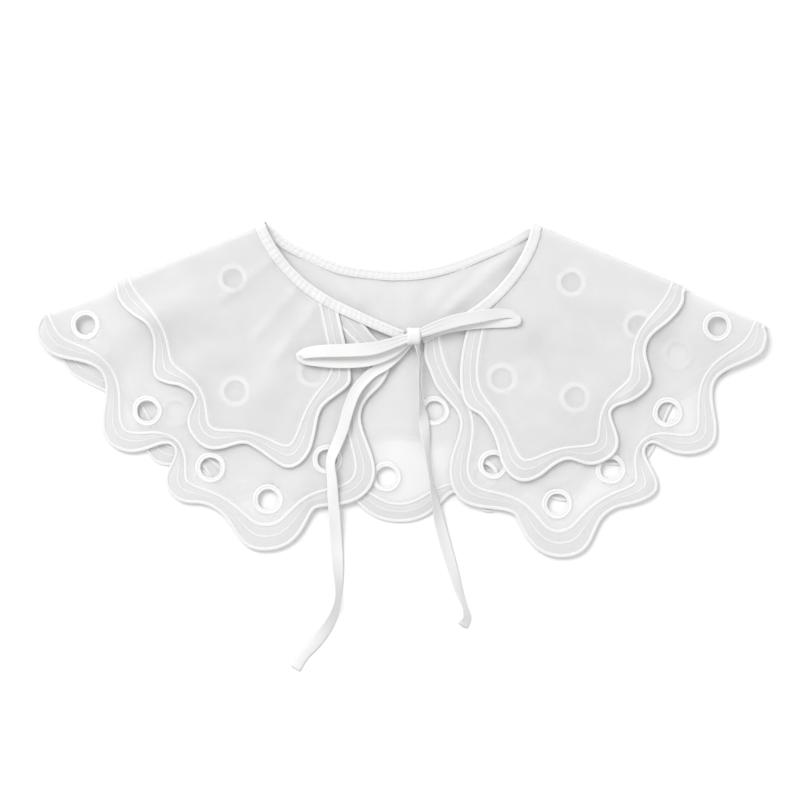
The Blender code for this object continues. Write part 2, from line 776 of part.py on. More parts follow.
def binding(side, material):
    """The bound neck edge of one front, whose free end goes on to the knot."""
    angles = np.linspace(neck_start(side, NECKS[side], 0.0), NECKS[side][-1][0], BINDING_COLUMNS)
    edge = neck_line(side, NECKS[side], 0.0, angles)
    cloth = edge - ARC_CENTRE
    cloth /= np.linalg.norm(cloth, axis=1)[:, None]
    plan = binding_rows(edge, cloth)
    settle_on_fold(plan, side, 0)
    heights = binding_height(side, plan, True)
    points, normals = standing(plan, heights)
    roll, roll_normals = bend(plan[:, 0], binding_height(side, plan[:, 0], False), heights[:, 0], side, True)
    points = np.concatenate([roll, points], axis=1)
    normals = np.concatenate([roll_normals, normals], axis=1)
    return rounded_band(f"neck_binding_{'left' if side < 0 else 'right'}_front", points, normals, material)


def back_binding(material):
    edge = back_neck_line(0.0, BACK_BINDING_COLUMNS)
    cloth = edge - ARC_CENTRE
    cloth /= np.linalg.norm(cloth, axis=1)[:, None]
    plan = binding_rows(edge, cloth)
    settle_on_fold(plan, -1, 0)
    settle_on_fold(plan, 1, plan.shape[1] - 1)
    heights = binding_height(1, plan, False)
    points, normals = standing(plan, heights)
    for side, column in ((-1, 0), (1, -1)):
        high = binding_height(side, plan[:, column], True)
        roll, roll_normals = bend(plan[:, column], heights[:, column], high, side, False)
        if side < 0:
            points = np.concatenate([roll, points], axis=1)
            normals = np.concatenate([roll_normals, normals], axis=1)
        else:
            points = np.concatenate([points, roll[:, ::-1]], axis=1)
            normals = np.concatenate([normals, roll_normals[:, ::-1]], axis=1)
    return rounded_band("neck_binding_back", points, normals, material)


def smooth_route(rows, step):
    """A smooth route through the rows, read off at even steps along its length."""
    table = np.array(rows, dtype=float)
    chords = np.linalg.norm(np.diff(table[:, :3], axis=0), axis=1) ** 0.5
    knots = np.concatenate([[0.0], np.cumsum(chords)])
    slopes = np.gradient(table, knots, axis=0)
    pieces = []
    for index, width in enumerate(np.diff(knots)):
        t = np.linspace(0.0, 1.0, 30, endpoint=False)[:, None]
        start = (1 + 2 * t) * (1 - t) ** 2 * table[index] + t * (1 - t) ** 2 * width * slopes[index]
        end = t * t * (3 - 2 * t) * table[index + 1] + t * t * (t - 1) * width * slopes[index + 1]
        pieces.append(start + end)
    dense = np.concatenate(pieces + [table[-1:]])
    length = np.concatenate([[0.0], np.cumsum(np.linalg.norm(np.diff(dense[:, :3], axis=0), axis=1))])
    at = np.linspace(0.0, length[-1], max(4, round(length[-1] / step)))
    return np.stack([np.interp(at, length, dense[:, axis]) for axis in range(5)], axis=1)


def top_of(layer, side, place):
    """Height of the upper face of what a ribbon lies on."""
    if layer == "floor":
        return 0.0
    middle = back_height("lower", place) if layer == "back" else front_height(layer, side, place)
    return float(middle) + 0.5 * WALL + STITCH_RISE


def laid_rows(side, rows):
    """Turns what a ribbon lies on into heights: x, y, height of its middle, roll, share of the width."""
    laid = []
    for x, y, layer, clearance, roll, share in rows:
        lean = math.radians(abs(roll))
        reach = 0.5 * (RIBBON_WIDTH * share * math.sin(lean) + RIBBON_WALL * math.cos(lean))
        laid.append((x, y, top_of(layer, side, np.array([x, y])) + clearance + reach, roll, share))
    return laid


def ribbon(name, side, rows, material, step):
    """A flat ribbon along its route, turned about its own run by the roll."""
    route = smooth_route(laid_rows(side, rows), step)
    run = np.gradient(route[:, :3], axis=0)
    run /= np.linalg.norm(run, axis=1)[:, None]
    across = np.stack([run[:, 1], -run[:, 0], np.zeros(len(run))], axis=1)
    across /= np.linalg.norm(across, axis=1)[:, None]
    up = np.cross(across, run)
    roll = np.radians(route[:, 3])[:, None]
    wide = across * np.cos(roll) + up * np.sin(roll)
    thick = np.cross(wide, run)
    half_width = 0.5 * RIBBON_WIDTH * route[:, 4][:, None]
    corners = []
    for sideways, upward in ((-1, -1), (1, -1), (1, 1), (-1, 1)):
        corners.append(route[:, :3] + wide * half_width * sideways + thick * (0.5 * RIBBON_WALL * upward))
    ring = np.stack(corners, axis=0)
    count = ring.shape[1]
    faces = []
    for column in range(count - 1):
        for row in range(4):
            after = (row + 1) % 4
            faces.append((row * count + column, after * count + column,
                          after * count + column + 1, row * count + column + 1))
    faces.append(tuple(row * count for row in range(4)))
    faces.append(tuple(row * count + count - 1 for row in reversed(range(4))))
    return solid(name, ring.reshape(-1, 3), faces, material)


def knot(material):
    """The middle of the bow: a ribbon drawn round it, as a barrel with flat ends."""
    width, depth = KNOT_SIZE
    turns = np.linspace(0.0, 2 * math.pi, 14, endpoint=False)
    shares = ((-0.5, 0.80), (-0.36, 0.98), (0.0, 0.92), (0.36, 0.98), (0.5, 0.80))
    middle = 0.5 * (KNOT_LOW + KNOT_HIGH)
    reach = 0.5 * (KNOT_HIGH - KNOT_LOW)
    vertices = []
    for along, swell in shares:
        for turn in turns:
            vertices.append((
                KNOT_CENTRE[0] + along * width,
                KNOT_CENTRE[1] + 0.5 * depth * swell * math.cos(turn),
                middle + reach * swell * math.sin(turn),
            ))
    sides = len(turns)
    faces = []
    for row in range(len(shares) - 1):
        for side in range(sides):
            after = (side + 1) % sides
            faces.append((row * sides + side, row * sides + after,
                          (row + 1) * sides + after, (row + 1) * sides + side))
    faces.append(tuple(range(sides)))
    faces.append(tuple((len(shares) - 1) * sides + side for side in reversed(range(sides))))
    return solid("bow_knot", vertices, faces, material)


def main():
    clear_scene()
    for tier in ("upper", "lower"):
        back_tier(tier, cloth_material(f"{tier}_tier_back_organza", ORGANZA, 0.55))
        for side in (-1, 1):
            front_tier(tier, side, cloth_material(f"{tier}_tier_front_organza", ORGANZA, 0.55))
    back_binding(cloth_material("back_binding_cloth", BINDING_CLOTH, 0.5))
    for side in (-1, 1):
        binding(side, cloth_material("front_binding_cloth", BINDING_CLOTH, 0.5))
    for name, (side, rows) in ROUTES.items():
        step = LOOP_STEP if "loop" in name else TAIL_STEP
        ribbon(name, side, rows, cloth_material(f"{name}_ribbon", RIBBON_CLOTH, 0.35), step)
    knot(cloth_material("bow_knot_ribbon", RIBBON_CLOTH, 0.35))


main()
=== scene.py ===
import math

import bpy
import numpy as np
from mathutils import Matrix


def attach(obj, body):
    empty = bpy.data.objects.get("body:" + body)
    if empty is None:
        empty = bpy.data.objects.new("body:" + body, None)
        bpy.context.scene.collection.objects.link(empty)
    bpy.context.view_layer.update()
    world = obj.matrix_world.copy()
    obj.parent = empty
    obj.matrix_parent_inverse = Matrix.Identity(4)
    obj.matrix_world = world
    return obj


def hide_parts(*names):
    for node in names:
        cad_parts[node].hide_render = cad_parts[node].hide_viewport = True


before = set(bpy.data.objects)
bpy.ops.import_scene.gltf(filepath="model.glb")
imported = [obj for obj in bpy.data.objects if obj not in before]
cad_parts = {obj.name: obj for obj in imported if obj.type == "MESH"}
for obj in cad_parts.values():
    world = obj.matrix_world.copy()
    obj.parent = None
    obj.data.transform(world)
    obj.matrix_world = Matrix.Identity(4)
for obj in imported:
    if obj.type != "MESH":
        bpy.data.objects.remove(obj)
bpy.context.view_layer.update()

# Places are laid out in millimetres about the centre of the hem arcs, as an angle and a radius.
metres = 0.001
arcCentre = np.array([-2.1, 187.4])
shift = np.array([-0.23, 0.95, 0.0])

# Points read on a curve between two rows of its table
curvePoints = {"hem": 24, "ribbon": 30}
cloth = {"wall": 0.34, "solidWall": 1.0, "pitch": 2.05, "spacing": 2.7, "fieldRows": 42}
border = {"edgeWidth": 2.3, "innerInset": 10.6, "innerWidth": 2.0, "middleInset": 6.3, "middleWidth": 0.6,
          "softStart": 2.8, "softEnd": 9.2, "normalEvening": 26.0, "softEvening": 30.0, "roll": 0.32,
          "rollPlaces": (2.2, 9.7, 11.9), "innermost": 15.0, "innerEvening": 6, "widening": 9.0,
          "bandSpacing": 1.25}
borderInsets = np.array([13.4, 12.4, 11.5, 10.6, 9.6, 9.0, 7.6, 6.3, 5.0, 3.4, 2.6, 1.9, 0.9])
bindingSizes = {"width": 7.0, "thickness": 3.05, "bulk": 1.95, "wall": 0.5, "tuck": 2.2, "under": 1.2,
                "pinch": 0.62, "pinchReach": 9.0, "pinchFade": 10.0, "cut": 0.0185}

# side: neck corner x, y, tip x, y
folds = {-1: (-92.2, 146.6, -234.3, 88.7), 1: (87.2, 145.8, 238.6, 81.6)}
foldSizes = {"radius": 4.0, "lift": 2.6, "liftWidth": 34.0, "calm": 20.0, "steps": 14,
             "hemReach": 1.5, "blend": 14}
# Radii between which the lower tier's back comes down to the floor
drop = {"start": 212, "end": 250}

# angle, radius, heading, reach, from the shoulder fold to the centre front
frontHems = {
    ("lower", -1): (
        (62.2, 264.7, -11, 15), (54.1, 241.6, 9, 15), (44.9, 266.5, -12, 20), (38.5, 240.5, 4, 10),
        (34.6, 266.3, 14, 16), (27.6, 260.2, 7, 17), (18.6, 271.2, -23, 22), (13.8, 237.3, -62, 7),
        (5.1, 216.7, -61, 19), (8.6, 169, -92, 14), (2.9, 138.7, -76, 15), (10.6, 112.8, -130, 8),
    ),
    ("lower", 1): (
        (62.9, 270.2, 10, 12), (54.3, 254.8, 23, 15), (45.8, 276, -30, 22), (40.9, 249.1, 10, 10),
        (36.9, 276.6, -4, 16), (30.3, 270.2, 10, 13), (23, 283.9, -15, 19), (18.2, 249.3, -90, 13),
        (9.3, 220.6, -74, 20), (13, 177.1, -99, 11), (8.7, 146.8, -79, 12), (7.6, 123.4, -103, 10),
    ),
    ("upper", -1): (
        (58.3, 200, -29, 20), (47.3, 214.3, -26, 13), (42.2, 205.5, -9, 13), (36.4, 227.6, 15, 21),
        (27.7, 211.8, 2, 11), (21.2, 215.7, 9, 9), (17, 195.1, -91, 12), (17.3, 170.8, -75, 7),
        (12.4, 149, -87, 6), (22.6, 105.4, -123, 12),
    ),
    ("upper", 1): (
        (56.9, 203.5, -21, 25), (47, 222.2, -3, 16), (40.4, 215.9, 12, 7), (34.9, 239.8, -3, 19),
        (28.4, 225.1, -5, 11), (22.3, 227.7, -4, 11), (18.7, 202.8, -99, 13), (16.8, 173.3, -40, 5),
        (15, 154.8, -97, 12), (21.4, 120.3, -126, 10),
    ),
}
backHems = {
    "lower": (
        (57.8, 259, 0, 9), (48.5, 242, 0, 8), (39.3, 256, 0, 11), (33, 240, 0, 6), (27, 251, 0, 11),
        (20.8, 232, 0, 6), (14.8, 239.5, 0, 10), (9.3, 222, 0, 7), (0, 238.5, 0, 24),
    ),
    "upper": (
        (51.5, 193, 0, 7), (42.5, 204, 0, 11), (35, 188, 0, 6), (27, 198, 0, 11), (18, 178, 0, 6),
        (9, 190, 0, 9), (0, 183, 0, 8),
    ),
}
foldHem = {("lower", -1): 258.8, ("lower", 1): 264.5, ("upper", -1): 204.6, ("upper", 1): 206.6}
frontNecks = {
    -1: ((66, 98), (52, 99), (38, 100), (26, 100.8), (15, 102.6), (5, 107.5), (-1.6, 112)),
    1: ((64.5, 97), (55, 100.5), (43, 104), (32, 107), (22, 109.5), (12, 112), (7.4, 114.5)),
}
backNecks = {
    -1: ((66, 97), (53, 89.5), (42, 82.5), (29, 78), (15, 73.5), (0, 72)),
    1: ((64.5, 96.5), (53, 87), (42, 79.6), (30, 75.4), (15, 72.8), (0, 72)),
}
# Angle at the neck that each front's hem corner is run to, and the heading that marks that corner
neckSpread = {("lower", -1): 40, ("lower", 1): 43, ("upper", -1): 38, ("upper", 1): 38}
cornerHeading = -45
# Angle and radius of a place well inside the cloth
insideFront = (40, 150)
insideBack = (0, 110)
# Mark of the fold rolls' columns, beside -1 and 1 for the fronts and 0 for the back
rollPart = 9
# angle, spread and share of the extra border depth
wideScallops = {("lower", -1): ((18.8, 6.5, 0.42),), ("lower", 1): ((23.4, 6.5, 0.46),)}

# angle, inner radius, outer radius, width, height
flutes = {
    -1: ((57, 120, 250, 12, 2), (44, 140, 262, 13, 1.8),
         (30, 130, 225, 12, 1.2), (17, 185, 268, 10, 1.5)),
    1: ((58, 130, 262, 12, 1.9), (46, 120, 215, 10, 1.4),
        (33, 125, 238, 13, 1.5), (21, 190, 280, 10, 1.3)),
}
# Creases of the cloth: start x, y, end x, y, half width, height
frontCreases = (
    (-205, 66, -168, 30, 6, 1.1), (-150, 70, -112, 60, 9, 1), (-128, -8, -98, -34, 4, 1),
    (-112, -2, -88, -22, 3.4, 0.9), (-90, -18, -62, -26, 4, 0.8), (-176, 38, -160, 2, 5, 0.8),
    (66, 74, 108, 66, 9, 1), (150, 36, 140, -6, 5, 1.2), (158, 50, 186, 34, 6, 1),
    (112, -18, 84, -34, 4, 0.8), (128, 96, 190, 70, 8, 0.9), (-108, 104, -172, 82, 8, 0.9),
    (176, 18, 160, -30, 4.5, 0.8), (60, 20, 96, 10, 7, 0.7), (-72, 100, -94, 74, 3.6, 0.9),
    (-56, 92, -82, 58, 4.2, 1), (-88, 120, -116, 98, 4, 0.8), (62, 98, 84, 70, 4, 0.8),
    (80, 118, 104, 94, 4, 0.7),
)
backCreases = (
    (72, 127, 30, 88, 3.6, 2.8), (40, 116, 24, 96, 5, 1.4), (-62, 122, -30, 96, 4.5, 1.8),
    (-20, 108, -8, 70, 6, 0.7), (6, 104, 2, 40, 7, 0.6), (16, 22, 46, 18, 4, 0.6),
    (-18, -12, 24, -16, 5, 0.6), (0, -4, 6, -40, 6, 0.5), (120, 100, 70, 40, 8, 0.4),
    (-120, 100, -80, 40, 8, 0.4), (-60, 80, -50, 10, 7, 0.4), (60, 90, 40, 10, 7, 0.4),
)

# Swells where the fronts stand off the layers below: x, y, half length, half width, height
frontSwells = (
    (80, 78, 18, 14, 3.4), (-140, 84, 36, 12, 2.6), (-196, 64, 14, 13, 2.2), (164, 74, 15, 20, 2.6),
    (-104, 34, 20, 14, 1.6), (112, 26, 20, 13, 1.6),
)

# angle, radius of the place, diameter of the hole
frontEyelets = {
    -1: ((62.3, 233.2, 13), (45.2, 234, 13.5), (31.6, 237.5, 13.5), (21.2, 239.5, 13.5),
         (13.6, 202.5, 13), (35.5, 186.5, 14), (22.4, 151, 13.5), (54.7, 134.5, 13)),
    1: ((62.4, 236, 13), (46.8, 242.5, 13.5), (34.4, 246.5, 13.5), (24.7, 249, 13.5),
        (17.1, 209.5, 13), (36.5, 194, 14), (25.2, 158.5, 14), (54.6, 138.5, 13),
        (55.3, 190.5, 13)),
}
backEyelets = ((-58.6, 235, 13), (-41.8, 221.5, 13.5), (-22.5, 205, 13), (-2.4, 208.6, 13.5),
               (15, 214, 13), (35.5, 220, 13), (55.3, 223, 14.5), (8, 166.5, 13),
               (30.8, 163.8, 14.5))
# layer (the side of a front, or 0 for the back) and row of every hole
holes = [(side, *row) for side in (-1, 1) for row in frontEyelets[side]] + [(0, *row) for row in backEyelets]
# crests of the ring: place across, half width, height
eyeletSizes = {"cutOver": 1.5, "snap": 1.5, "slack": 0.05, "ring": 3.5, "around": 84, "rows": 12,
               "overlap": 0.15, "wobble": (0.012, 0.008), "base": 0.16,
               "crests": ((0.2, 0.16, 0.62), (0.72, 0.2, 0.84)), "above": 0.5, "below": 0.26}

# Ribbon routes: x, y, what lies under it, clearance, roll in degrees, share of the full width
ribbonSizes = {"width": 8.6, "solidWall": 1.0, "wall": 0.36, "step": 1.3, "room": 0.45, "gather": 0.35,
               "gathers": 3, "across": 15, "cupMiddle": 0.4, "flatWidth": 0.010}
routes = {
    "bow_loop_left": (-1, (
        (5.2, 71.2, "upper", 3, 4, 0.6), (-5.5, 67.4, "upper", 3.9, 12, 0.84),
        (-20, 63.4, "upper", 4.6, 6, 1), (-38, 62.2, "upper", 4.7, -3, 1),
        (-55, 61.6, "upper", 4.3, -6, 0.95), (-64, 60.2, "upper", 3.4, -4, 0.8),
        (-68, 58.4, "upper", 2.3, 0, 0.6), (-64.8, 56.8, "upper", 1.2, 4, 0.78),
        (-55, 55.4, "upper", 0.8, 8, 0.9), (-38, 54.6, "upper", 0.6, 6, 0.95),
        (-20, 56.4, "upper", 0.6, 0, 0.95), (-7, 61.2, "upper", 0.3, -4, 0.84),
        (4.6, 69.4, "upper", -0.2, 0, 0.6),
    )),
    "bow_loop_right": (1, (
        (8.8, 72.2, "upper", 3, -8, 0.6), (20, 76.8, "upper", 3.5, -14, 0.88),
        (34, 81.4, "upper", 4.2, -10, 1), (50, 84.4, "upper", 4.6, -14, 0.98),
        (62, 86, "upper", 4.4, -16, 0.84), (70.5, 85.8, "upper", 3.6, -10, 0.6),
        (74.8, 83.6, "upper", 2.5, 0, 0.46), (75.6, 81, "upper", 1.6, 10, 0.5),
        (69, 80.2, "upper", 0.9, 14, 0.7), (56, 80.4, "upper", 0.6, 8, 0.84),
        (38, 79.2, "upper", 0.5, 0, 0.95), (22, 75.6, "upper", 0.3, 0, 0.86),
        (9.2, 71, "upper", -0.2, 0, 0.6),
    )),
    "tie_tail_left": (-1, (
        (5.8, 68.6, "back", 2.2, 16, 0.6), (-4, 58.6, "back", 1.2, 6, 0.74), (-11, 53, "lower", 0.4, 2, 0.8),
        (-20.8, 47, "lower", 0.5, 0, 0.8), (-30, 37, "upper", 0.4, 0, 0.84),
        (-35, 26, "upper", 0.5, 0, 0.86), (-39.6, 10, "upper", 0.4, 0, 0.86),
        (-43.6, 0, "lower", 1.5, -8, 0.86), (-47.6, -10, "lower", 0.5, -30, 0.86),
        (-46.6, -23, "lower", 0.4, -24, 0.86), (-45.6, -38, "lower", 0.4, 0, 0.86),
        (-44.8, -48, "lower", 0.2, 0, 0.86), (-43.6, -66, "floor", 1, 0, 0.86),
        (-42.8, -80, "floor", 0.3, 20, 0.86), (-42.6, -100, "floor", 0.3, 58, 0.86),
        (-46, -113, "floor", 0.3, 40, 0.86), (-55.6, -128, "floor", 0.3, 8, 0.86),
        (-66, -139, "floor", 0.3, 0, 0.86), (-71, -147.6, "floor", 0.3, 0, 0.8),
    )),
    "tie_tail_right": (1, (
        (8.8, 68.6, "back", 2.6, 50, 0.6), (11.2, 57, "back", 0.5, 74, 0.8),
        (10.8, 42, "back", 0.4, 78, 0.86), (12, 28, "back", 0.4, 66, 0.86),
        (13.8, 16, "back", 0.4, 24, 0.86), (15.2, 4, "back", 0.4, 40, 0.86),
        (17, -10, "back", 0.4, 64, 0.86), (19.2, -24, "back", 0.4, 66, 0.86),
        (21.6, -38, "back", 0.5, 44, 0.86), (24.6, -52, "floor", 1.2, 24, 0.86),
        (28.4, -66, "floor", 0.3, 20, 0.86), (33, -82, "floor", 0.3, 28, 0.86),
        (37.2, -96, "floor", 0.3, 48, 0.86), (41.4, -108, "floor", 0.3, 64, 0.86),
        (42.4, -114, "floor", 0.3, 44, 0.86), (39.6, -119.4, "floor", 0.3, 14, 0.8),
    )),
}


# place = centre + radius (side sin angle, -cos angle)
def polar(side, angle, radius):
    turn = np.radians(angle)
    return arcCentre + np.stack([side * radius * np.sin(turn), -radius * np.cos(turn)], axis=-1)


# way = cos heading (along the hem) + sin heading (outwards)
def headingVector(side, angle, heading):
    turn, lean = math.radians(angle), math.radians(heading)
    along = np.array([-math.cos(turn), -math.sin(turn)])
    outward = np.array([math.sin(turn), -math.cos(turn)])
    return (math.cos(lean) * along + math.sin(lean) * outward) * (side, 1.0)


# v / |v|
def unit(vectors):
    return vectors / np.linalg.norm(vectors, axis=-1, keepdims=True)


# The axis runs parallel to the fold, one bend radius and half a wall inside it
def foldAxis(side):
    corner, tip = np.array(folds[side]).reshape(2, 2)
    along = unit(tip - corner)
    outward = np.array([-along[1], along[0]])
    outward *= np.sign(outward[1])
    return corner - outward * (foldSizes["radius"] + 0.5 * cloth["solidWall"]), along, outward


# start + t along, where |start + t along - centre| = radius
def onFold(side, radius):
    start, along, _ = foldAxis(side)
    fromCentre = start - arcCentre
    half = fromCentre @ along
    return start + along * (-half + math.sqrt(half * half - fromCentre @ fromCentre + radius * radius))


# cubic (1-t)^3 a + 3 (1-t)^2 t b + 3 (1-t) t^2 c + t^3 d between the rows of a hem table
def hemCurve(rows, side, first):
    knots = [(first, -foldAxis(side)[2] * foldSizes["hemReach"])]
    knots += [(polar(side, a, r), headingVector(side, a, h) * reach) for a, r, h, reach in rows]
    t = np.linspace(0.0, 1.0, curvePoints["hem"], endpoint=False)[:, None]
    pieces = []
    for (a, pullA), (d, pullD) in zip(knots, knots[1:]):
        b, c = a + pullA, d - pullD
        pieces.append((1 - t) ** 3 * a + 3 * (1 - t) ** 2 * t * b + 3 * (1 - t) * t ** 2 * c + t ** 3 * d)
    return np.concatenate(pieces + [knots[-1][0][None]])


# Running length: the sum of the steps between points, from 0
def lengths(curve):
    return np.concatenate([[0.0], np.cumsum(np.linalg.norm(np.diff(curve, axis=0), axis=1))])


# The curve's values at given running lengths
def readAt(curve, length, at):
    return np.stack([np.interp(at, length, curve[:, axis]) for axis in range(curve.shape[1])], axis=-1)


# The curve read at equal steps of its length
def evenly(curve, count):
    length = lengths(curve)
    return readAt(curve, length, np.linspace(0.0, length[-1], count))


# v - 2 (v . n) n
def mirrored(vectors, across):
    return vectors - 2 * (vectors @ across)[..., None] * across


# A running average weighted by a raised cosine
def evened(values, before, after):
    padded = np.concatenate([before, values, after])
    window = np.hanning(2 * len(before) + 3)[1:-1]
    window /= window.sum()
    return np.stack([np.convolve(padded[:, axis], window, mode="valid") for axis in range(2)], axis=1)


# Unit normals towards the cloth, averaged over a reach; a fold at an end mirrors what lies past it
def inward(curve, innerPoint, mirrors, reach):
    tangent = np.gradient(curve, axis=0)
    normal = np.stack([-tangent[:, 1], tangent[:, 0]], axis=1)
    middle = len(curve) // 3
    normal = unit(normal if normal[middle] @ (innerPoint - curve[middle]) > 0 else -normal)
    count = round(reach * len(curve) / lengths(curve)[-1])
    start, end = mirrors
    before = mirrored(normal[count:0:-1], start)
    after = mirrored(normal[-2:-count - 2:-1], end) if end is not None else normal[-1:].repeat(count, 0)
    return unit(evened(normal, before, after))


# The curve averaged over a reach; past a fold it goes on mirrored, past a free end turned about that end
def softened(curve, mirrors, reach):
    count = round(reach * len(curve) / lengths(curve)[-1])
    start, end = mirrors
    before = mirrored(curve[count:0:-1] - curve[0], start)
    after = curve[-2:-count - 2:-1] - curve[-1]
    after = mirrored(after, end) if end is not None else -after
    return evened(curve, curve[0] + before, curve[-1] + after)


# (1 + 2t) (1-t)^2 a + t (1-t)^2 width slope a + t^2 (3 - 2t) b + t^2 (t-1) width slope b
def hermite(t, width, a, b, slopeA, slopeB):
    start = (1 + 2 * t) * (1 - t) ** 2 * a + t * (1 - t) ** 2 * width * slopeA
    end = t * t * (3 - 2 * t) * b + t * t * (t - 1) * width * slopeB
    return start + end


# Hermite value through (place, value) rows, slopes by central differences
def through(rows, at):
    places, values = np.array(sorted(rows), dtype=float).T
    slopes = np.gradient(values, places)
    at = np.clip(at, places[0], places[-1])
    left = np.clip(np.searchsorted(places, at) - 1, 0, len(places) - 2)
    width = places[left + 1] - places[left]
    t = (at - places[left]) / width
    return hermite(t, width, values[left], values[left + 1], slopes[left], slopes[left + 1])


# t^2 (3 - 2t)
def smoothStep(value):
    value = np.clip(value, 0.0, 1.0)
    return value * value * (3 - 2 * value)


# angle = atan2(side (x - centre x), centre y - y), in degrees
def angleFromFront(place, side):
    return np.degrees(np.arctan2(side * (place[..., 0] - arcCentre[0]), arcCentre[1] - place[..., 1]))


# radius = |place - centre|
def fromCentre(place):
    return np.linalg.norm(place - arcCentre, axis=-1)


# Reach of a crease past its ends in half widths, and how much lower its middle is
creaseFade = 1.6
creaseDip = 0.45


# Sum of height exp(-(distance from the line / half width)^2), fading out past the line's ends
def creaseHeight(rows, place):
    rise = np.zeros(place.shape[:-1])
    for x0, y0, x1, y1, width, height in rows:
        start, run = np.array([x0, y0]), np.array([x1 - x0, y1 - y0])
        size = np.linalg.norm(run)
        along = (place - start) @ run / size ** 2
        aside = np.abs((place - start) @ np.array([-run[1], run[0]])) / size
        past = np.clip(np.abs(along - 0.5) - 0.5, 0, None) * size
        share = 1 - creaseDip * np.sin(np.pi * np.clip(along, 0, 1)) ** 2
        rise += height * np.exp(-(past / (creaseFade * width)) ** 2) * share * np.exp(-(aside / width) ** 2)
    return rise


# A flute is height exp(-(distance aside / width)^2) sin(pi run)^1.5
def fluteHeight(side, place):
    radius, angle = fromCentre(place), angleFromFront(place, side)
    rise = np.zeros(place.shape[:-1])
    for middle, inner, outer, width, height in flutes[side]:
        across = np.radians(angle - middle) * radius / width
        run = (radius - inner) / (outer - inner)
        rise += height * np.exp(-across ** 2) * np.sin(np.pi * np.clip(run, 0, 1)) ** 1.5
    return rise


# Sum of height exp(-(x / half length)^2 - (y / half width)^2)
def swellHeight(place):
    rise = np.zeros(place.shape[:-1])
    for x, y, length, width, height in frontSwells:
        rise += height * np.exp(-((place[..., 0] - x) / length) ** 2 - ((place[..., 1] - y) / width) ** 2)
    return rise


# half a wall + creases, and for the lower tier one pitch more, which eases to 0 towards the hem
def backHeight(tier, place, creased=True):
    low = np.full(place.shape[:-1], 0.5 * cloth["solidWall"])
    if creased:
        low = low + creaseHeight(backCreases, place)
    if tier == "upper":
        return low
    down = smoothStep((fromCentre(place) - drop["start"]) / (drop["end"] - drop["start"]))
    return low + cloth["pitch"] * (1 - down)


# back + pitch + lift exp(-(distance from the fold / width)^2) + flutes + creases
def frontHeight(tier, side, place):
    start, _, outward = foldAxis(side)
    reach = np.clip((start - place) @ outward, 0, None)
    lift = foldSizes["lift"] * np.exp(-(reach / foldSizes["liftWidth"]) ** 2)
    creases = (creaseHeight(frontCreases, place) + swellHeight(place)) * smoothStep(reach / foldSizes["calm"])
    height = backHeight("lower", place, False) + cloth["pitch"] + lift + fluteHeight(side, place) + creases
    return height + (cloth["pitch"] if tier == "upper" else 0.0)


# Midway between both tiers of a front, where its binding lies
def frontMiddle(side, place):
    return 0.5 * (frontHeight("lower", side, place) + frontHeight("upper", side, place))


# The angle at which the neck edge, set back, meets the fold
def neckStart(side, rows, setback):
    return float(angleFromFront(onFold(side, rows[0][1] + setback), side))


# radius = table value at the angle + setback, beginning on the fold
def neckLine(side, rows, setback, angles):
    line = polar(side, angles, through(rows, angles) + setback)
    line[0] = onFold(side, rows[0][1] + setback)
    return line


# Even angles to the hem's front corner, then gathered towards the last one by a cube
def frontNeckAngles(tier, side, hem, count, total, atEnd, setback):
    cornerRow = next(row for row in frontHems[tier, side] if row[2] <= cornerHeading)
    corner = polar(side, cornerRow[0], cornerRow[1])
    dense = evenly(hem, 4 * count)
    share = float(np.argmin(np.linalg.norm(dense - corner, axis=1))) / (4 * total)
    atCorner = neckSpread[tier, side]
    start = neckStart(side, frontNecks[side], setback)
    t = np.linspace(0.0, 1.0, total)
    hemPart = start + (atCorner - start) * t / share
    edgePart = atCorner + (atEnd - atCorner) * (np.clip(t - share, 0, None) / (1 - share)) ** 3
    return np.where(t < share, hemPart, edgePart)


# Both halves of the back's neck edge, joined in the middle and read evenly
def backNeckLine(setback, count):
    halves = []
    for side in (-1, 1):
        angles = np.linspace(neckStart(side, backNecks[side], setback), 0.0, count // 2 + 1)
        halves.append(neckLine(side, backNecks[side], setback, angles))
    return evenly(np.concatenate([halves[0], halves[1][-2::-1]]), count)


# Share of depth that a border gains in its widest scallops: sum of gain exp(-((angle - middle) / spread)^2)
def extraDepth(tier, side, place):
    angle = angleFromFront(place, side)
    depth = np.zeros(len(place))
    for middle, spread, gain in wideScallops.get((tier, side), ()):
        depth += gain * np.exp(-((angle - middle) / spread) ** 2)
    return depth[:, None]


# place = hem + (soft hem - hem) ease(inset) + normal inset; the first row is the inner end of the field
def borderRows(tier, side, hem, count, innerPoint, mirrors, insets):
    dense = evenly(hem, 4 * count + 1)
    pick = np.linspace(0, len(dense) - 1, count).round().astype(int)
    toward = inward(dense, innerPoint, mirrors, border["normalEvening"])[pick]
    soft = softened(dense, mirrors, border["softEvening"])[pick]
    edge = dense[pick]
    extra = extraDepth(tier, side, edge)

    def atInset(inset):
        ease = smoothStep((inset - border["softStart"]) / (border["softEnd"] - border["softStart"]))
        deep = inset * (1 + extra * smoothStep(inset / border["widening"]))
        return edge + (soft - edge) * ease + toward * deep

    inner = atInset(border["innermost"])
    reach = border["innerEvening"]
    inner = evened(inner, 2 * inner[0] - inner[reach:0:-1], 2 * inner[-1] - inner[-2:-reach - 2:-1])
    return np.array([inner] + [atInset(inset) for inset in insets])


# Field rows run straight from the neck to the border's first row
def fieldRows(neck, rows, shares):
    field = neck + (rows[0] - neck) * np.asarray(shares)[:, None, None] if len(shares) else rows[:0]
    return np.concatenate([field, rows[1:]])


# place = start + ((place - start) . along) along
def settleOnFold(plan, side, column):
    start, along, _ = foldAxis(side)
    reach = (plan[:, column] - start) @ along
    plan[:, column] = start + reach[:, None] * along


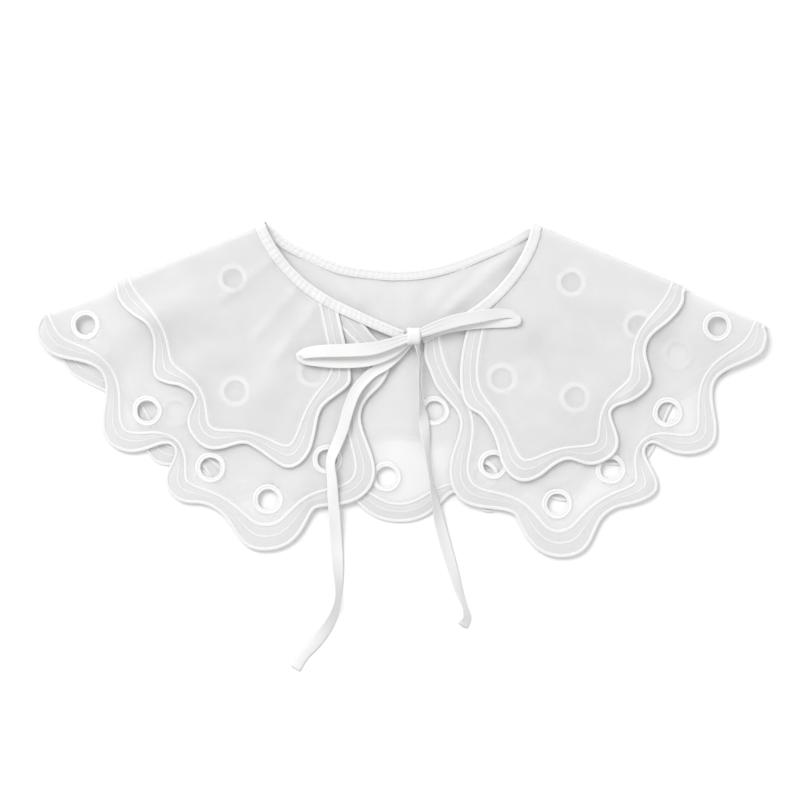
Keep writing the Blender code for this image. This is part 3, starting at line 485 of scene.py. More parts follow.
# Points near a hole of the layer are moved onto its circle: centre + unit (place - centre) radius
def snapToHoles(plan, layer):
    for owner, angle, radius, diameter in holes:
        if owner != layer:
            continue
        centre = polar(layer or 1, angle, radius)
        rim = 0.5 * diameter + eyeletSizes["cutOver"]
        away = plan - centre
        distance = np.linalg.norm(away, axis=-1)
        near = np.abs(distance - rim) < eyeletSizes["snap"]
        plan[near] = centre + away[near] / distance[near][:, None] * rim


# Plan points with their height as the third value
def lifted(plan, height):
    return np.concatenate([plan, height[..., None]], axis=-1)


# Half a turn at the fold: place + outward radius sin turn, height = middle + radius cos turn
def rollColumns(place, low, high, side, fromTop):
    radius, middle = 0.5 * (high - low), 0.5 * (high + low)
    turns = np.linspace(0.0, math.pi, foldSizes["steps"])[1:-1]
    turns = turns if fromTop else turns[::-1]
    out = place[:, None] + foldAxis(side)[2] * (radius[:, None] * np.sin(turns))[..., None]
    return lifted(out, middle[:, None] + radius[:, None] * np.cos(turns))


# height = middle + (height - middle) (1 - pinch near the neck)
def pinched(height, middle, place, neck):
    reach = bindingSizes["width"] + bindingSizes["pinchReach"] - (fromCentre(place) - neck)
    near = smoothStep(reach / bindingSizes["pinchFade"])
    return middle + (height - middle) * (1 - bindingSizes["pinch"] * near)


runOn = {"reach": 24.0, "places": 97, "least": 0.4, "columns": 12}


# Each row of a border goes on along its own end until it meets the neck binding
def runToNeck(plan, side, setback):
    reach = np.linspace(0.0, runOn["reach"], runOn["places"])
    end = plan[:, -1][:, None]
    way = unit(plan[:, -1] - plan[:, -5])[:, None]
    ahead = end + way * reach[:, None]
    clear = fromCentre(ahead) - through(frontNecks[side], angleFromFront(ahead, side)) - setback
    stop = np.where((clear < 0).any(axis=1), np.argmax(clear < 0, axis=1), len(reach) - 1)
    stop = np.clip(reach[stop], runOn["least"], None)
    steps = np.linspace(0.0, 1.0, runOn["columns"] + 1)[1:]
    return np.concatenate([plan, end + way * (stop[:, None] * steps)[..., None]], axis=1)


# A front from its neck edge to its hem, in plan, its first column on the fold and its last at the neck
def frontPlan(tier, side, shares, insets, spacing):
    setback = bindingSizes["width"] - bindingSizes["tuck"]
    hem = hemCurve(frontHems[tier, side], side, onFold(side, foldHem[tier, side]))
    count = round(lengths(hem)[-1] / spacing)
    mirrors = (foldAxis(side)[2], None)
    rows = borderRows(tier, side, hem, count, polar(side, *insideFront), mirrors, insets)
    rows = runToNeck(rows, side, setback)
    atEnd = float(angleFromFront(rows[0, -1], side))
    angles = frontNeckAngles(tier, side, hem, count, rows.shape[1], atEnd, setback)
    neck = neckLine(side, frontNecks[side], setback - bindingSizes["under"], angles)
    plan = fieldRows(neck, rows, shares)
    settleOnFold(plan, side, 0)
    angles = angleFromFront(plan[:, -1], side)
    least = through(frontNecks[side], angles) + setback
    plan[:, -1] = polar(side, angles, np.maximum(fromCentre(plan[:, -1]), least))
    return plan


# The back in plan, its end columns blended into those of the fronts over a few columns
def backPlan(tier, fronts, shares, insets, spacing):
    halves = [hemCurve(backHems[tier], side, onFold(side, foldHem[tier, side])) for side in (-1, 1)]
    hem = np.concatenate([halves[0], halves[1][-2::-1]])
    count = round(lengths(hem)[-1] / spacing)
    mirrors = (foldAxis(-1)[2], foldAxis(1)[2])
    rows = borderRows(tier, 0, hem, count, polar(1, *insideBack), mirrors, insets)
    inner = bindingSizes["width"] - bindingSizes["tuck"] - bindingSizes["under"]
    back = fieldRows(evenly(backNeckLine(inner, count), count), rows, shares)
    settleOnFold(back, -1, 0)
    settleOnFold(back, 1, count - 1)
    fade = np.clip(1 - np.arange(count) / foldSizes["blend"], 0, 1)[None, :, None]
    return back + (fronts[-1][:, :1] - back[:, :1]) * fade + (fronts[1][:, :1] - back[:, -1:]) * fade[:, ::-1]


# One grid from the left front edge, over both folds, to the right front edge: rows by columns
def tierGrid(tier, shares, insets, spacing, holed=False):
    start, end, past = border["rollPlaces"]
    between = np.clip(np.sin(np.pi * (insets - start) / (end - start)), 0, None) * (insets < end)
    between = border["roll"] * (between + 0.5 * (insets > past))
    raised = np.concatenate([np.zeros(len(shares)), between])[:, None]
    fronts = {side: frontPlan(tier, side, shares, insets, spacing) for side in (-1, 1)}
    if holed:
        for side in (-1, 1):
            snapToHoles(fronts[side], side)
    back = backPlan(tier, fronts, shares, insets, spacing)
    if holed:
        snapToHoles(back, 0)
    necks = [through(backNecks[side], angleFromFront(back, side)) for side in (-1, 1)]
    backNeck = np.where(back[..., 0] < arcCentre[0], *necks)
    backHigh = pinched(backHeight(tier, back) + raised, 0.5 * bindingSizes["thickness"], back, backNeck)
    groups, parts = [], []
    for side, plan in fronts.items():
        neck = through(frontNecks[side], angleFromFront(plan, side))
        high = pinched(frontHeight(tier, side, plan) + raised, frontMiddle(side, plan), plan, neck)
        front = lifted(plan, high)
        roll = rollColumns(plan[:, 0], backHigh[:, 0 if side < 0 else -1], high[:, 0], side, side < 0)
        groups.append([front[:, ::-1], roll] if side < 0 else [roll, front])
        parts.append([np.full(front.shape[1], side), np.full(roll.shape[1], rollPart)])
    grid = np.concatenate(groups[0] + [lifted(back, backHigh)] + groups[1], axis=1)
    part = np.concatenate(parts[0] + [np.zeros(back.shape[1], int)] + parts[1][::-1])
    return grid, part


# Unit cross product of the two ways through a grid, pointing up on the fronts
def gridNormals(grid):
    normal = np.cross(np.gradient(grid, axis=1), np.gradient(grid, axis=0))
    normal /= np.linalg.norm(normal, axis=-1)[..., None] + 1e-12
    return normal if normal[:, 3, 2].mean() > 0 else -normal


# Arrays broadcast together, then stacked along a last axis
def stacked(*arrays):
    return np.stack(np.broadcast_arrays(*arrays), axis=-1)


# Quads between neighbouring rows and columns
def gridFaces(rows, columns, closedRows=False):
    row = np.arange(rows if closedRows else rows - 1)[:, None] * columns
    after = (row + columns) % (rows * columns)
    column = np.arange(columns - 1)
    return stacked(row + column, after + column, after + column + 1, row + column + 1)


# vertex = (point + shift) in metres; the cloth's own UV map and its share of border, which carries the
# border's denser cloth and its painted shade, go with it
def makeMesh(name, points, faces, material, uv=None, dense=None):
    mesh = bpy.data.meshes.new(name)
    points = (points.reshape(-1, 3) + shift) * metres
    faces = faces.reshape(-1, 4)
    mesh.vertices.add(len(points))
    mesh.vertices.foreach_set("co", points.astype(np.float32).ravel())
    mesh.loops.add(faces.size)
    mesh.loops.foreach_set("vertex_index", faces.astype(np.int32).ravel())
    mesh.polygons.add(len(faces))
    mesh.polygons.foreach_set("loop_start", np.arange(0, faces.size, 4, dtype=np.int32))
    mesh.polygons.foreach_set("use_smooth", np.full(len(faces), True))
    if uv is not None:
        layer = mesh.uv_layers.new(name="cloth")
        layer.data.foreach_set("uv", uv.reshape(-1, 2)[faces.ravel()].astype(np.float32).ravel())
    # The dense share holds the border's denser cloth and its painted shade
    if dense is not None:
        share = mesh.attributes.new("dense", "FLOAT", "POINT")
        share.data.foreach_set("value", dense.astype(np.float32).ravel())
    mesh.update(calc_edges=True)
    mesh.validate()
    mesh.materials.append(material)
    made = bpy.data.objects.new(name, mesh)
    bpy.context.scene.collection.objects.link(made)
    return made


# Half the wall goes to each side of the cloth's middle
def thicken(piece, wall):
    shell = piece.modifiers.new("thickness", "SOLIDIFY")
    shell.thickness = wall * metres
    shell.offset = 0.0
    shell.use_even_offset = False


# Half the sum of |cross product| at two corners of each quad, in square metres
def gridArea(grid):
    first = np.cross(grid[1:, :-1] - grid[:-1, :-1], grid[:-1, 1:] - grid[:-1, :-1])
    second = np.cross(grid[1:, :-1] - grid[1:, 1:], grid[:-1, 1:] - grid[1:, 1:])
    doubled = np.linalg.norm(first, axis=-1).sum() + np.linalg.norm(second, axis=-1).sum()
    return 0.5 * float(doubled) * metres ** 2


# A closed band round a strip of cloth: strip + normal height profile, above and below; its edges sink in
def bandMesh(name, grid, rise, profile, material):
    normal = gridNormals(grid)
    top = 0.5 + 0.5 * np.sign(normal[..., 2:])
    profile = profile[:, None, None]

    def offset(above, below):
        height = profile * (above * top + below * (1 - top))
        return 0.5 * cloth["wall"] + np.where(profile < 0, bandSink * profile, height)

    over, under = grid + normal * offset(*rise), grid - normal * offset(*rise[::-1])
    ring = np.concatenate([over, under[::-1]])
    rows, columns = ring.shape[:2]
    across = lengths(grid[:, 0])
    across = np.concatenate([across, across[::-1]])[:, None]
    uv = stacked(lengths(grid[len(grid) // 2]), across) * metres
    ends = np.array([[r * columns, (rows - 1 - r) * columns, (rows - 2 - r) * columns, (r + 1) * columns]
                     for r in range(rows // 2 - 1)])
    faces = gridFaces(rows, columns, True).reshape(-1, 4)
    return makeMesh(name, ring, np.concatenate([faces, ends, ends[:, ::-1] + columns - 1]), material, uv)


# A node group whose inputs are a number each, or a vector where the value is None; its outputs are numbers
def nodeGroup(name, inputs, outputs):
    group = bpy.data.node_groups.new(name, "ShaderNodeTree")
    for label, value in inputs.items():
        kind = "NodeSocketVector" if value is None else "NodeSocketFloat"
        socket = group.interface.new_socket(name=label, in_out="INPUT", socket_type=kind)
        if value is not None:
            socket.default_value = value
    for label in outputs:
        group.interface.new_socket(name=label, in_out="OUTPUT", socket_type="NodeSocketFloat")
    return group, group.nodes.new("NodeGroupInput"), group.nodes.new("NodeGroupOutput")


# Fills a node's inputs by label or place: a socket is linked, anything else is the value
def feed(tree, node, inputs):
    for label, value in inputs.items():
        if isinstance(value, bpy.types.NodeSocket):
            tree.links.new(value, node.inputs[label])
        else:
            node.inputs[label].default_value = value
    return node


# One Math node of numbers or sockets
def mathNode(tree, operation, *values):
    node = tree.nodes.new("ShaderNodeMath")
    node.operation = operation
    return feed(tree, node, dict(enumerate(values))).outputs[0]


# first + (second - first) share, as colours
def mixNode(tree, share, first, second):
    node = tree.nodes.new("ShaderNodeMix")
    node.data_type = "RGBA"
    return feed(tree, node, {0: share, 6: first, 7: second}).outputs[2]


# Smooth noise of a scale and detail
def noiseNode(tree, vector, scale, detail):
    node = tree.nodes.new("ShaderNodeTexNoise")
    return feed(tree, node, {"Scale": scale, "Detail": detail, "Vector": vector}).outputs[0]


weave = {"wanderScale": 260.0, "wander": 2.4, "slubScale": 46.0, "slub": 0.5}


# Two sets of threads: 0.5 + 0.5 sin(2 pi x / pitch), each wandering with a slow noise
def weaveGroup():
    group, enter, leave = nodeGroup("threads", {"Vector": None, "Pitch": 0.0005, "Slub": weave["slub"]},
                                    ("Threads", "Cover"))
    vector = enter.outputs["Vector"]
    apart = feed(group, group.nodes.new("ShaderNodeSeparateXYZ"), {0: vector})
    noise = noiseNode(group, vector, weave["wanderScale"], 2.0)
    rate = mathNode(group, "DIVIDE", 2 * math.pi, enter.outputs["Pitch"])
    wander = mathNode(group, "MULTIPLY", mathNode(group, "SUBTRACT", noise, 0.5), weave["wander"])
    waves = []
    for axis in (0, 1):
        phase = mathNode(group, "ADD", mathNode(group, "MULTIPLY", apart.outputs[axis], rate), wander)
        waves.append(mathNode(group, "MULTIPLY_ADD", mathNode(group, "SINE", phase), 0.5, 0.5))
    threads = mathNode(group, "MAXIMUM", *waves)
    slub = mathNode(group, "SUBTRACT", noiseNode(group, vector, weave["slubScale"], 4.0), 0.5)
    cloud = mathNode(group, "MULTIPLY", slub, enter.outputs["Slub"])
    feed(group, leave, {"Threads": threads, "Cover": mathNode(group, "ADD", threads, cloud)})
    return group


# tone: share of the stitch colour that follows the stitch height, a painted shade between the stitches
stitching = {"frayScale": 900.0, "fray": 1.6, "lean": 0.25, "tone": 0.7}


# Stitches side by side: |sin(pi along / pitch)|, leaning and frayed by a noise; the tone follows this height,
# a painted shade darker between the stitches, mixed with random tone from the noise
def stitchGroup():
    group, enter, leave = nodeGroup("stitches", {"Vector": None, "Pitch": 0.0006}, ("Height", "Tone"))
    vector = enter.outputs["Vector"]
    apart = feed(group, group.nodes.new("ShaderNodeSeparateXYZ"), {0: vector})
    noise = noiseNode(group, vector, stitching["frayScale"], 1.0)
    rate = mathNode(group, "DIVIDE", math.pi, enter.outputs["Pitch"])
    lean = mathNode(group, "MULTIPLY_ADD", apart.outputs[1], stitching["lean"], apart.outputs[0])
    along = mathNode(group, "MULTIPLY", lean, rate)
    phase = mathNode(group, "MULTIPLY_ADD", noise, stitching["fray"], along)
    height = mathNode(group, "ABSOLUTE", mathNode(group, "SINE", phase))
    # Painted shade: the colour darkens with the stitch height towards the grooves
    tone = mathNode(group, "MULTIPLY", height, stitching["tone"])
    tone = mathNode(group, "MULTIPLY_ADD", noise, 1 - stitching["tone"], tone)
    feed(group, leave, {"Height": height, "Tone": tone})
    return group


threadsGroup = weaveGroup()
stitchesGroup = stitchGroup()


# colour = low to high by the pattern, then the border's painted shade by its share; alpha = low to high +
# border share, for the denser worked cloth
def clothMaterial(name, look):
    material = bpy.data.materials.new(name)
    material.use_nodes = True
    tree = material.node_tree
    shader = tree.nodes["Principled BSDF"]
    stitched = look["pattern"] == "stitches"
    place = tree.nodes.new("ShaderNodeTexCoord").outputs["UV" if stitched or look.get("uv") else "Object"]
    pattern = tree.nodes.new("ShaderNodeGroup")
    pattern.node_tree = stitchesGroup if stitched else threadsGroup
    feed(tree, pattern, {"Pitch": look["pitch"], "Vector": place})
    height, tone = pattern.outputs
    # For stitches this tone carries a painted shade between the stitches
    colour = mixNode(tree, tone, (*look["low"], 1.0), (*look["high"], 1.0))
    if "border" in look:
        # The border colour mixed in by the dense share is a painted shade; the alpha it adds is the denser
        # cloth
        dense = tree.nodes.new("ShaderNodeAttribute")
        dense.attribute_name = "dense"
        colour = mixNode(tree, dense.outputs["Fac"], colour, (*look["border"], 1.0))
        low, high = look["alpha"]
        alpha = mathNode(tree, "MULTIPLY_ADD", tone, high - low, low)
        alpha = mathNode(tree, "MULTIPLY_ADD", dense.outputs["Fac"], look["borderAlpha"], alpha)
        clamp = feed(tree, tree.nodes.new("ShaderNodeClamp"), {0: alpha})
        feed(tree, shader, {"Alpha": clamp.outputs[0]})
    bump = feed(tree, tree.nodes.new("ShaderNodeBump"),
                {"Strength": look["bump"], "Distance": look["depth"], "Height": height})
    feed(tree, shader, {"Roughness": look["roughness"], "Specular IOR Level": look["specular"],
                        "Base Color": colour, "Normal": bump.outputs[0]})
    return material


# The border colour is a painted shade over the stitched border; borderAlpha is its denser cloth
organzaLook = {"pattern": "threads", "pitch": 0.00042, "low": (0.975, 0.975, 0.975),
               "high": (0.995, 0.995, 0.995), "alpha": (0.22, 0.46), "border": (0.86, 0.86, 0.86),
               "borderAlpha": 0.30, "roughness": 0.52, "specular": 0.3, "bump": 0.35, "depth": 0.0001}
# The thread colour runs from low, a painted shade between the stitches, to high on the stitches
threadLook = {"pattern": "stitches", "pitch": 0.00058, "low": (0.84, 0.84, 0.84), "high": (0.95, 0.95, 0.948),
              "roughness": 0.38, "specular": 0.4, "bump": 0.7, "depth": 0.00022}
bindingLook = {"pattern": "threads", "pitch": 0.0005, "low": (0.70, 0.70, 0.70), "high": (0.88, 0.88, 0.88),
               "roughness": 0.5, "specular": 0.3, "bump": 0.5, "depth": 0.00015}
ribbonLook = {"pattern": "threads", "pitch": 0.0004, "uv": True, "low": (0.74, 0.74, 0.736),
              "high": (0.86, 0.86, 0.856), "roughness": 0.34, "specular": 0.45, "bump": 0.35, "depth": 0.0001}
organza = clothMaterial("organza", organzaLook)
satinThread = clothMaterial("satinThread", threadLook)
bindingCloth = clothMaterial("bindingCloth", bindingLook)
ribbonCloth = clothMaterial("ribbonCloth", ribbonLook)


# The fronts turned back over the fold lines, which gives the flat cut
def flatCut(grid, part):
    plan = grid[..., :2].copy()
    for side in (-1, 1):
        start, _, outward = foldAxis(side)
        columns = part == side
        plan[:, columns] = start + mirrored(plan[:, columns] - start, outward)
    outline = plan[:, part != rollPart].reshape(-1, 2)
    return np.ptp(outline, axis=0) * metres


# Height across a stitched band: a half ellipse on a step, its two ends below the cloth
bandProfile = 0.35 + 0.65 * np.sqrt(np.clip(1 - np.linspace(-1, 1, 7) ** 2, 0, None))
bandProfile[[0, -1]] = -0.5
bandSink = 0.12


# Stitch lines of a hem: middle of the line, its width, its rise above and below the cloth
stitchLines = {
    "EdgeStitches": (0.5 * border["edgeWidth"], border["edgeWidth"], (0.40, 0.26)),
    "InnerStitches": (border["innerInset"], border["innerWidth"], (0.36, 0.24)),
    "MiddleStitches": (border["middleInset"], border["middleWidth"], (0.07, 0.05)),
}


# The tier's grid with its eyelets cut out, and a band along each stitch line
def buildTier(tier, nodes):
    shares = np.linspace(0.0, 1.0, cloth["fieldRows"], endpoint=False)
    grid, part = tierGrid(tier, shares, borderInsets, cloth["spacing"], tier == "lower")
    rows, columns = grid.shape[:2]
    faces = gridFaces(rows, columns).reshape(-1, 4)
    if tier == "lower":
        plan = grid[..., :2].reshape(-1, 2)
        parts = np.broadcast_to(part, (rows, columns)).reshape(-1)
        for layer, angle, radius, diameter in holes:
            distance = np.linalg.norm(plan - polar(layer or 1, angle, radius), axis=1)
            reach = 0.5 * diameter + eyeletSizes["cutOver"] + eyeletSizes["slack"]
            inside = (distance < reach) & (parts == layer)
            faces = faces[~inside[faces].all(axis=1)]
    # Border share: denser cloth with a painted shade, full from the inner stitch line to the hem, fading out
    # further in
    borderDenseAndShade = np.interp(borderInsets, (border["innerInset"], borderInsets[0]), (1.0, 0.0))
    dense = np.repeat(np.concatenate([np.zeros(len(shares)), borderDenseAndShade]), columns)
    piece = makeMesh(f"{tier}Tier", grid, faces, organza, dense=dense)
    thicken(piece, cloth["wall"])
    trims = []
    for name, (middle, width, rise) in stitchLines.items():
        across = np.linspace(middle + 0.5 * width, middle - 0.5 * width, len(bandProfile))
        strip, _ = tierGrid(tier, [], across, border["bandSpacing"])
        trims.append(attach(bandMesh(f"{tier}{name}", strip, rise, bandProfile, satinThread), "root"))
    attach(piece, "root")
    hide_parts(*nodes)
    width, length = flatCut(grid, part)
    area = gridArea(grid)
    print(tier, "tier", grid.shape, "flat cut", width, length, "area", area)
    return piece, trims, (float(width), float(length)), area


# Ring round a hole: radius from the hole to hole + width, height by two soft crests across
def buildEyelets():
    sizes = eyeletSizes
    half = 0.5 * cloth["wall"]
    across = np.linspace(0.0, 1.0, sizes["rows"])[:, None]
    crest = sizes["base"] + sum(rise * np.exp(-((across - at) / width) ** 2)
                                for at, width, rise in sizes["crests"])
    crest[[0, -1]] = 0.0
    turns = np.linspace(0.0, 2 * math.pi, sizes["around"] + 1)
    circle = np.stack([np.cos(turns), np.sin(turns)], axis=-1)
    slow, quick = sizes["wobble"]
    points, faces, uvs, count = [], [], [], 0
    for layer, angle, radius, diameter in holes:
        wobble = 1 + slow * np.sin(3 * turns + angle) + quick * np.sin(5 * turns + radius)
        reach = (0.5 * diameter - sizes["overlap"] + sizes["ring"] * across) * wobble
        place = polar(layer or 1, angle, radius) + reach[..., None] * circle
        high = frontHeight("lower", layer, place) if layer else backHeight("lower", place)
        over = lifted(place, high + half + sizes["above"] * crest)
        under = lifted(place, high - half - sizes["below"] * crest)
        ring = np.concatenate([over, under[::-1]])
        aside = np.concatenate([across, across[::-1]]) * sizes["ring"]
        points.append(ring.reshape(-1, 3))
        uvs.append(stacked(turns * 0.5 * diameter, aside).reshape(-1, 2) * metres)
        faces.append(gridFaces(*ring.shape[:2], True).reshape(-1, 4)[:, ::-1] + count)
        count += len(points[-1])
    rings = makeMesh("eyeletStitches", np.concatenate(points), np.concatenate(faces), satinThread,
                     np.concatenate(uvs))
    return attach(rings, "root")


# Half the strip, from its stitched edge to the fold: inset from the neck edge, share of half the bulk
bindingProfile = ((7.0, 0.80), (6.4, 0.97), (5.4, 1.0), (4.2, 1.0), (3.0, 1.0), (1.9, 1.0), (1.0, 0.95),
                  (0.4, 0.74), (0.08, 0.28))
turnRow = len(bindingProfile) - 1
bindingColumns = {"front": 150, "back": 220, "roll": 6}
# Dimples under the stitch rows: insets, half width, share of the bulk
dimples = {"insets": (1.5, 5.7), "width": 0.55, "depth": 0.16}
puckers = {"rate": 1.7, "drift": 0.9, "driftRate": 0.31, "fade": 6.0, "above": 0.14, "below": 0.04,
           "from": 0.5}


# A strip folded over the neck edge: a U of two flat sides and a rounded turn, run along the edge
# Its height is level (1 - dimples) (1 + pucker sin(rate run + drift sin(drift rate run)))
def buildBinding(name, node, side):
    if side:
        first, last = neckStart(side, frontNecks[side], 0.0), frontNecks[side][-1][0]
        edge = neckLine(side, frontNecks[side], 0.0, np.linspace(first, last, bindingColumns["front"]))
    else:
        edge = backNeckLine(0.0, bindingColumns["back"])
    inset, level = np.array(bindingProfile).T
    inset = np.concatenate([inset, inset[::-1]])[:, None]
    level = np.concatenate([level, -level[::-1]])[:, None] * 0.5 * bindingSizes["bulk"]
    plan = edge + unit(edge - arcCentre) * inset[..., None]
    level = level * (1 - sum(dimples["depth"] * np.exp(-((inset - at) / dimples["width"]) ** 2)
                             for at in dimples["insets"]))
    run = lengths(edge)
    ripple = np.sin(puckers["rate"] * run + puckers["drift"] * np.sin(puckers["driftRate"] * run))
    ripple *= np.clip(np.minimum(run, run[-1] - run) / puckers["fade"], 0, 1)
    pucker = np.where(level > 0, puckers["above"], puckers["below"]) * (inset > puckers["from"])
    flat = 0.5 * bindingSizes["thickness"]
    rolls = [(side, 0)] if side else [(-1, 0), (1, -1)]
    for foldSide, column in rolls:
        settleOnFold(plan, foldSide, column)
    grid = lifted(plan, (frontMiddle(side, plan) if side else flat) + level * (1 + pucker * ripple))
    for foldSide, column in rolls:
        place = plan[:, column]
        high = frontMiddle(foldSide, place)[:, None]
        turns = np.linspace(math.pi / 2, 0 if side else math.pi, bindingColumns["roll"] + 1)[:-1]
        out = 0.5 * (high - flat) + level * (1 if side else -1)
        shell = place[:, None] + foldAxis(foldSide)[2] * (out * np.sin(turns))[..., None]
        roll = lifted(shell, 0.5 * (high + flat) + out * np.cos(turns))
        grid = np.concatenate([roll, grid] if column == 0 else [grid, roll[:, ::-1]], axis=1)
    along = lengths(grid[turnRow]) * metres
    uv = stacked(along, lengths(grid[:, grid.shape[1] // 2])[:, None] * metres)
    piece = makeMesh(name, grid, gridFaces(*grid.shape[:2]), bindingCloth, uv)
    thicken(piece, bindingSizes["wall"])
    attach(piece, "root")
    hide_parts(node)
    stitches = bindingStitches(f"{name}Stitches", grid)


bindingStitchSizes = {"rows": (5, 2, 12, 15), "pitch": 2.1, "share": 0.74, "size": 0.26, "sides": 6,
                      "taper": (0.35, 0.85, 1.0, 1.0, 0.85, 0.35), "sunk": 0.02, "arch": 0.12}


# Small barrel stitches: an ellipse of sides swept along each stitch, tapering to its ends
def bindingStitches(name, grid):
    normal = gridNormals(grid)
    sizes = bindingStitchSizes
    pitch, sides = sizes["pitch"], sizes["sides"]
    taper = np.array(sizes["taper"]) * sizes["size"]
    t = np.linspace(0.0, 1.0, len(taper))
    turns = np.linspace(0.0, 2 * math.pi, sides, endpoint=False)[:, None]
    raised = 0.5 * bindingSizes["wall"] + sizes["sunk"] + sizes["arch"] * np.sin(np.pi * t)
    ring = np.arange(len(taper) - 1)[:, None] * sides
    turn = np.arange(sides)
    after = (turn + 1) % sides
    quads = stacked(ring + turn, ring + after, ring + sides + after, ring + sides + turn).reshape(-1, 4)
    ends = np.array([[5, 4, 3, 0], [3, 2, 1, 0], [0, 1, 2, 3], [0, 3, 4, 5]])
    ends[2:] += len(ring) * sides
    oneStitch = np.concatenate([quads, ends])
    points, faces, count = [], [], 0
    for row in sizes["rows"]:
        line, up = grid[row], normal[row]
        length = lengths(line)
        starts = np.arange(1.0, length[-1] - pitch, pitch)
        inner = grid[turnRow if row <= turnRow else turnRow + 1]
        outside = np.sign(((line - inner) * up).sum(axis=1).mean())
        at = starts[:, None] + t * pitch * sizes["share"]
        centre = readAt(line, length, at)
        out = readAt(up, length, at) * outside
        aside = np.cross(unit(np.gradient(centre, axis=1)), out)
        spokes = aside[:, :, None] * np.cos(turns) + out[:, :, None] * np.sin(turns)
        tube = (centre + out * raised[:, None])[:, :, None] + taper[:, None, None] * spokes
        each = np.arange(len(starts))[:, None, None] * len(taper) * sides
        points.append(tube.reshape(-1, 3))
        faces.append((oneStitch + each).reshape(-1, 4) + count)
        count += len(points[-1])
    points = np.concatenate(points)
    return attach(makeMesh(name, points, np.concatenate(faces), satinThread, points[:, :2] * metres), "root")


# Hermite curve through the route's rows against the square root of the chord
def smoothRoute(rows, step):
    table = np.array(rows, dtype=float)
    chords = np.linalg.norm(np.diff(table[:, :3], axis=0), axis=1)
    knots = np.concatenate([[0.0], np.cumsum(chords ** 0.5)])
    slopes = np.gradient(table, knots, axis=0)
    t = np.linspace(0.0, 1.0, curvePoints["ribbon"], endpoint=False)[:, None]
    pieces = [hermite(t, width, table[row], table[row + 1], slopes[row], slopes[row + 1])
              for row, width in enumerate(np.diff(knots))]
    dense = np.concatenate(pieces + [table[-1:]])
    length = lengths(dense[:, :3])
    return readAt(dense, length, np.linspace(0.0, length[-1], max(4, round(length[-1] / step))))


# Height of the layer's middle + half a wall + the room that the ribbon keeps from it
def topOf(layer, side, place):
    if layer == "floor":
        return 0.0
    middle = backHeight("lower", place) if layer == "back" else frontHeight(layer, side, place)
    return float(middle) + 0.5 * cloth["solidWall"] + ribbonSizes["room"]


# height = top of the layer + clearance + half the rolled ribbon's own height
def laidRows(side, rows):
    laid = []
    for x, y, layer, clearance, roll, share in rows:
        lean = math.radians(abs(roll))
        width, wall = ribbonSizes["width"] * share, ribbonSizes["solidWall"]
        reach = 0.5 * (width * math.sin(lean) + wall * math.cos(lean))
        height = topOf(layer, side, np.array([x, y])) + clearance + reach
        laid.append((x, y, height, roll, share))
    return laid


# centre line + (aside cos roll + up sin roll) offset + thick (cup (offset^2 - middle) + gathers at the knot)
def buildRibbon(name, node, look):
    side, rows = routes[node]
    route = smoothRoute(laidRows(side, rows), ribbonSizes["step"])
    run = unit(np.gradient(route[:, :3], axis=0))
    across = unit(np.stack([run[:, 1], -run[:, 0], np.zeros(len(run))], axis=1))
    up = np.cross(across, run)
    roll = np.radians(route[:, 3])[:, None]
    wide = across * np.cos(roll) + up * np.sin(roll)
    thick = np.cross(wide, run)
    offset = np.linspace(-1.0, 1.0, ribbonSizes["across"])[:, None]
    half = 0.5 * ribbonSizes["width"] * route[:, 4]
    along = lengths(route[:, :3])
    near = np.exp(-along / look["gather"])
    if look["both"]:
        near = near + np.exp(-(along[-1] - along) / look["gather"])
    gathers = near * np.cos(offset * ribbonSizes["gathers"] * np.pi + look["phase"]) * ribbonSizes["gather"]
    cup = look["cup"] * (offset ** 2 - ribbonSizes["cupMiddle"])
    lift = gathers + cup * np.sin(along / look["wave"])
    lift -= lift.mean(axis=0)
    grid = route[:, :3] + wide * (half * offset)[..., None] + thick * lift[..., None]
    uv = stacked(along, offset * 0.5 * ribbonSizes["width"]) * metres
    piece = makeMesh(name, grid, gridFaces(*grid.shape[:2]), ribbonCloth, uv)
    thicken(piece, ribbonSizes["wall"])
    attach(piece, "root")
    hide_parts(node)


# profile: place along the width, share of the full radius
knotSizes = {"centre": (6.9, 71.6), "width": 8.4, "depth": 11.6, "low": 4.6, "high": 14.0, "wall": 0.4,
             "profile": ((-0.40, 0.50), (-0.47, 0.62), (-0.5, 0.76), (-0.47, 0.90), (-0.38, 0.98),
                         (-0.2, 0.95), (0.0, 0.93), (0.2, 0.95), (0.38, 0.98), (0.47, 0.90), (0.5, 0.76),
                         (0.47, 0.62), (0.40, 0.50)),
             "around": 56, "ridges": 14, "ridgeHeight": 0.025, "ridgeLean": 0.6, "ridgeFrom": 0.85,
             "squash": 0.10, "lean": 0.5, "uv": (0.006, 0.008), "flat": (0.014, 0.036)}


# A ribbon drawn round the bow: radius swells by a table along its width, with soft ridges round it
def buildKnot():
    sizes = knotSizes
    along, swell = np.array(sizes["profile"]).T[..., None]
    turns = np.linspace(0.0, 2 * math.pi, sizes["around"] + 1)
    ridges = np.cos(along * sizes["ridges"] + sizes["ridgeLean"] * np.sin(turns))
    ridges = ridges * (swell > sizes["ridgeFrom"])
    squash = 1 - sizes["squash"] * np.abs(np.sin(turns)) ** 6
    reach = 0.5 * swell * (1 + sizes["ridgeHeight"] * ridges) * squash
    low, high = sizes["low"], sizes["high"]
    x = sizes["centre"][0] + along * sizes["width"] + sizes["lean"] * np.sin(turns)
    y = sizes["centre"][1] + sizes["depth"] * reach * np.cos(turns)
    grid = stacked(x, y, 0.5 * (low + high) + (high - low) * reach * np.sin(turns))
    uv = stacked(turns * sizes["uv"][0], along * sizes["uv"][1])
    piece = makeMesh("bowKnot", grid, gridFaces(*grid.shape[:2])[..., ::-1], ribbonCloth, uv)
    thicken(piece, sizes["wall"])
    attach(piece, "root")
    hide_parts("bow_knot")


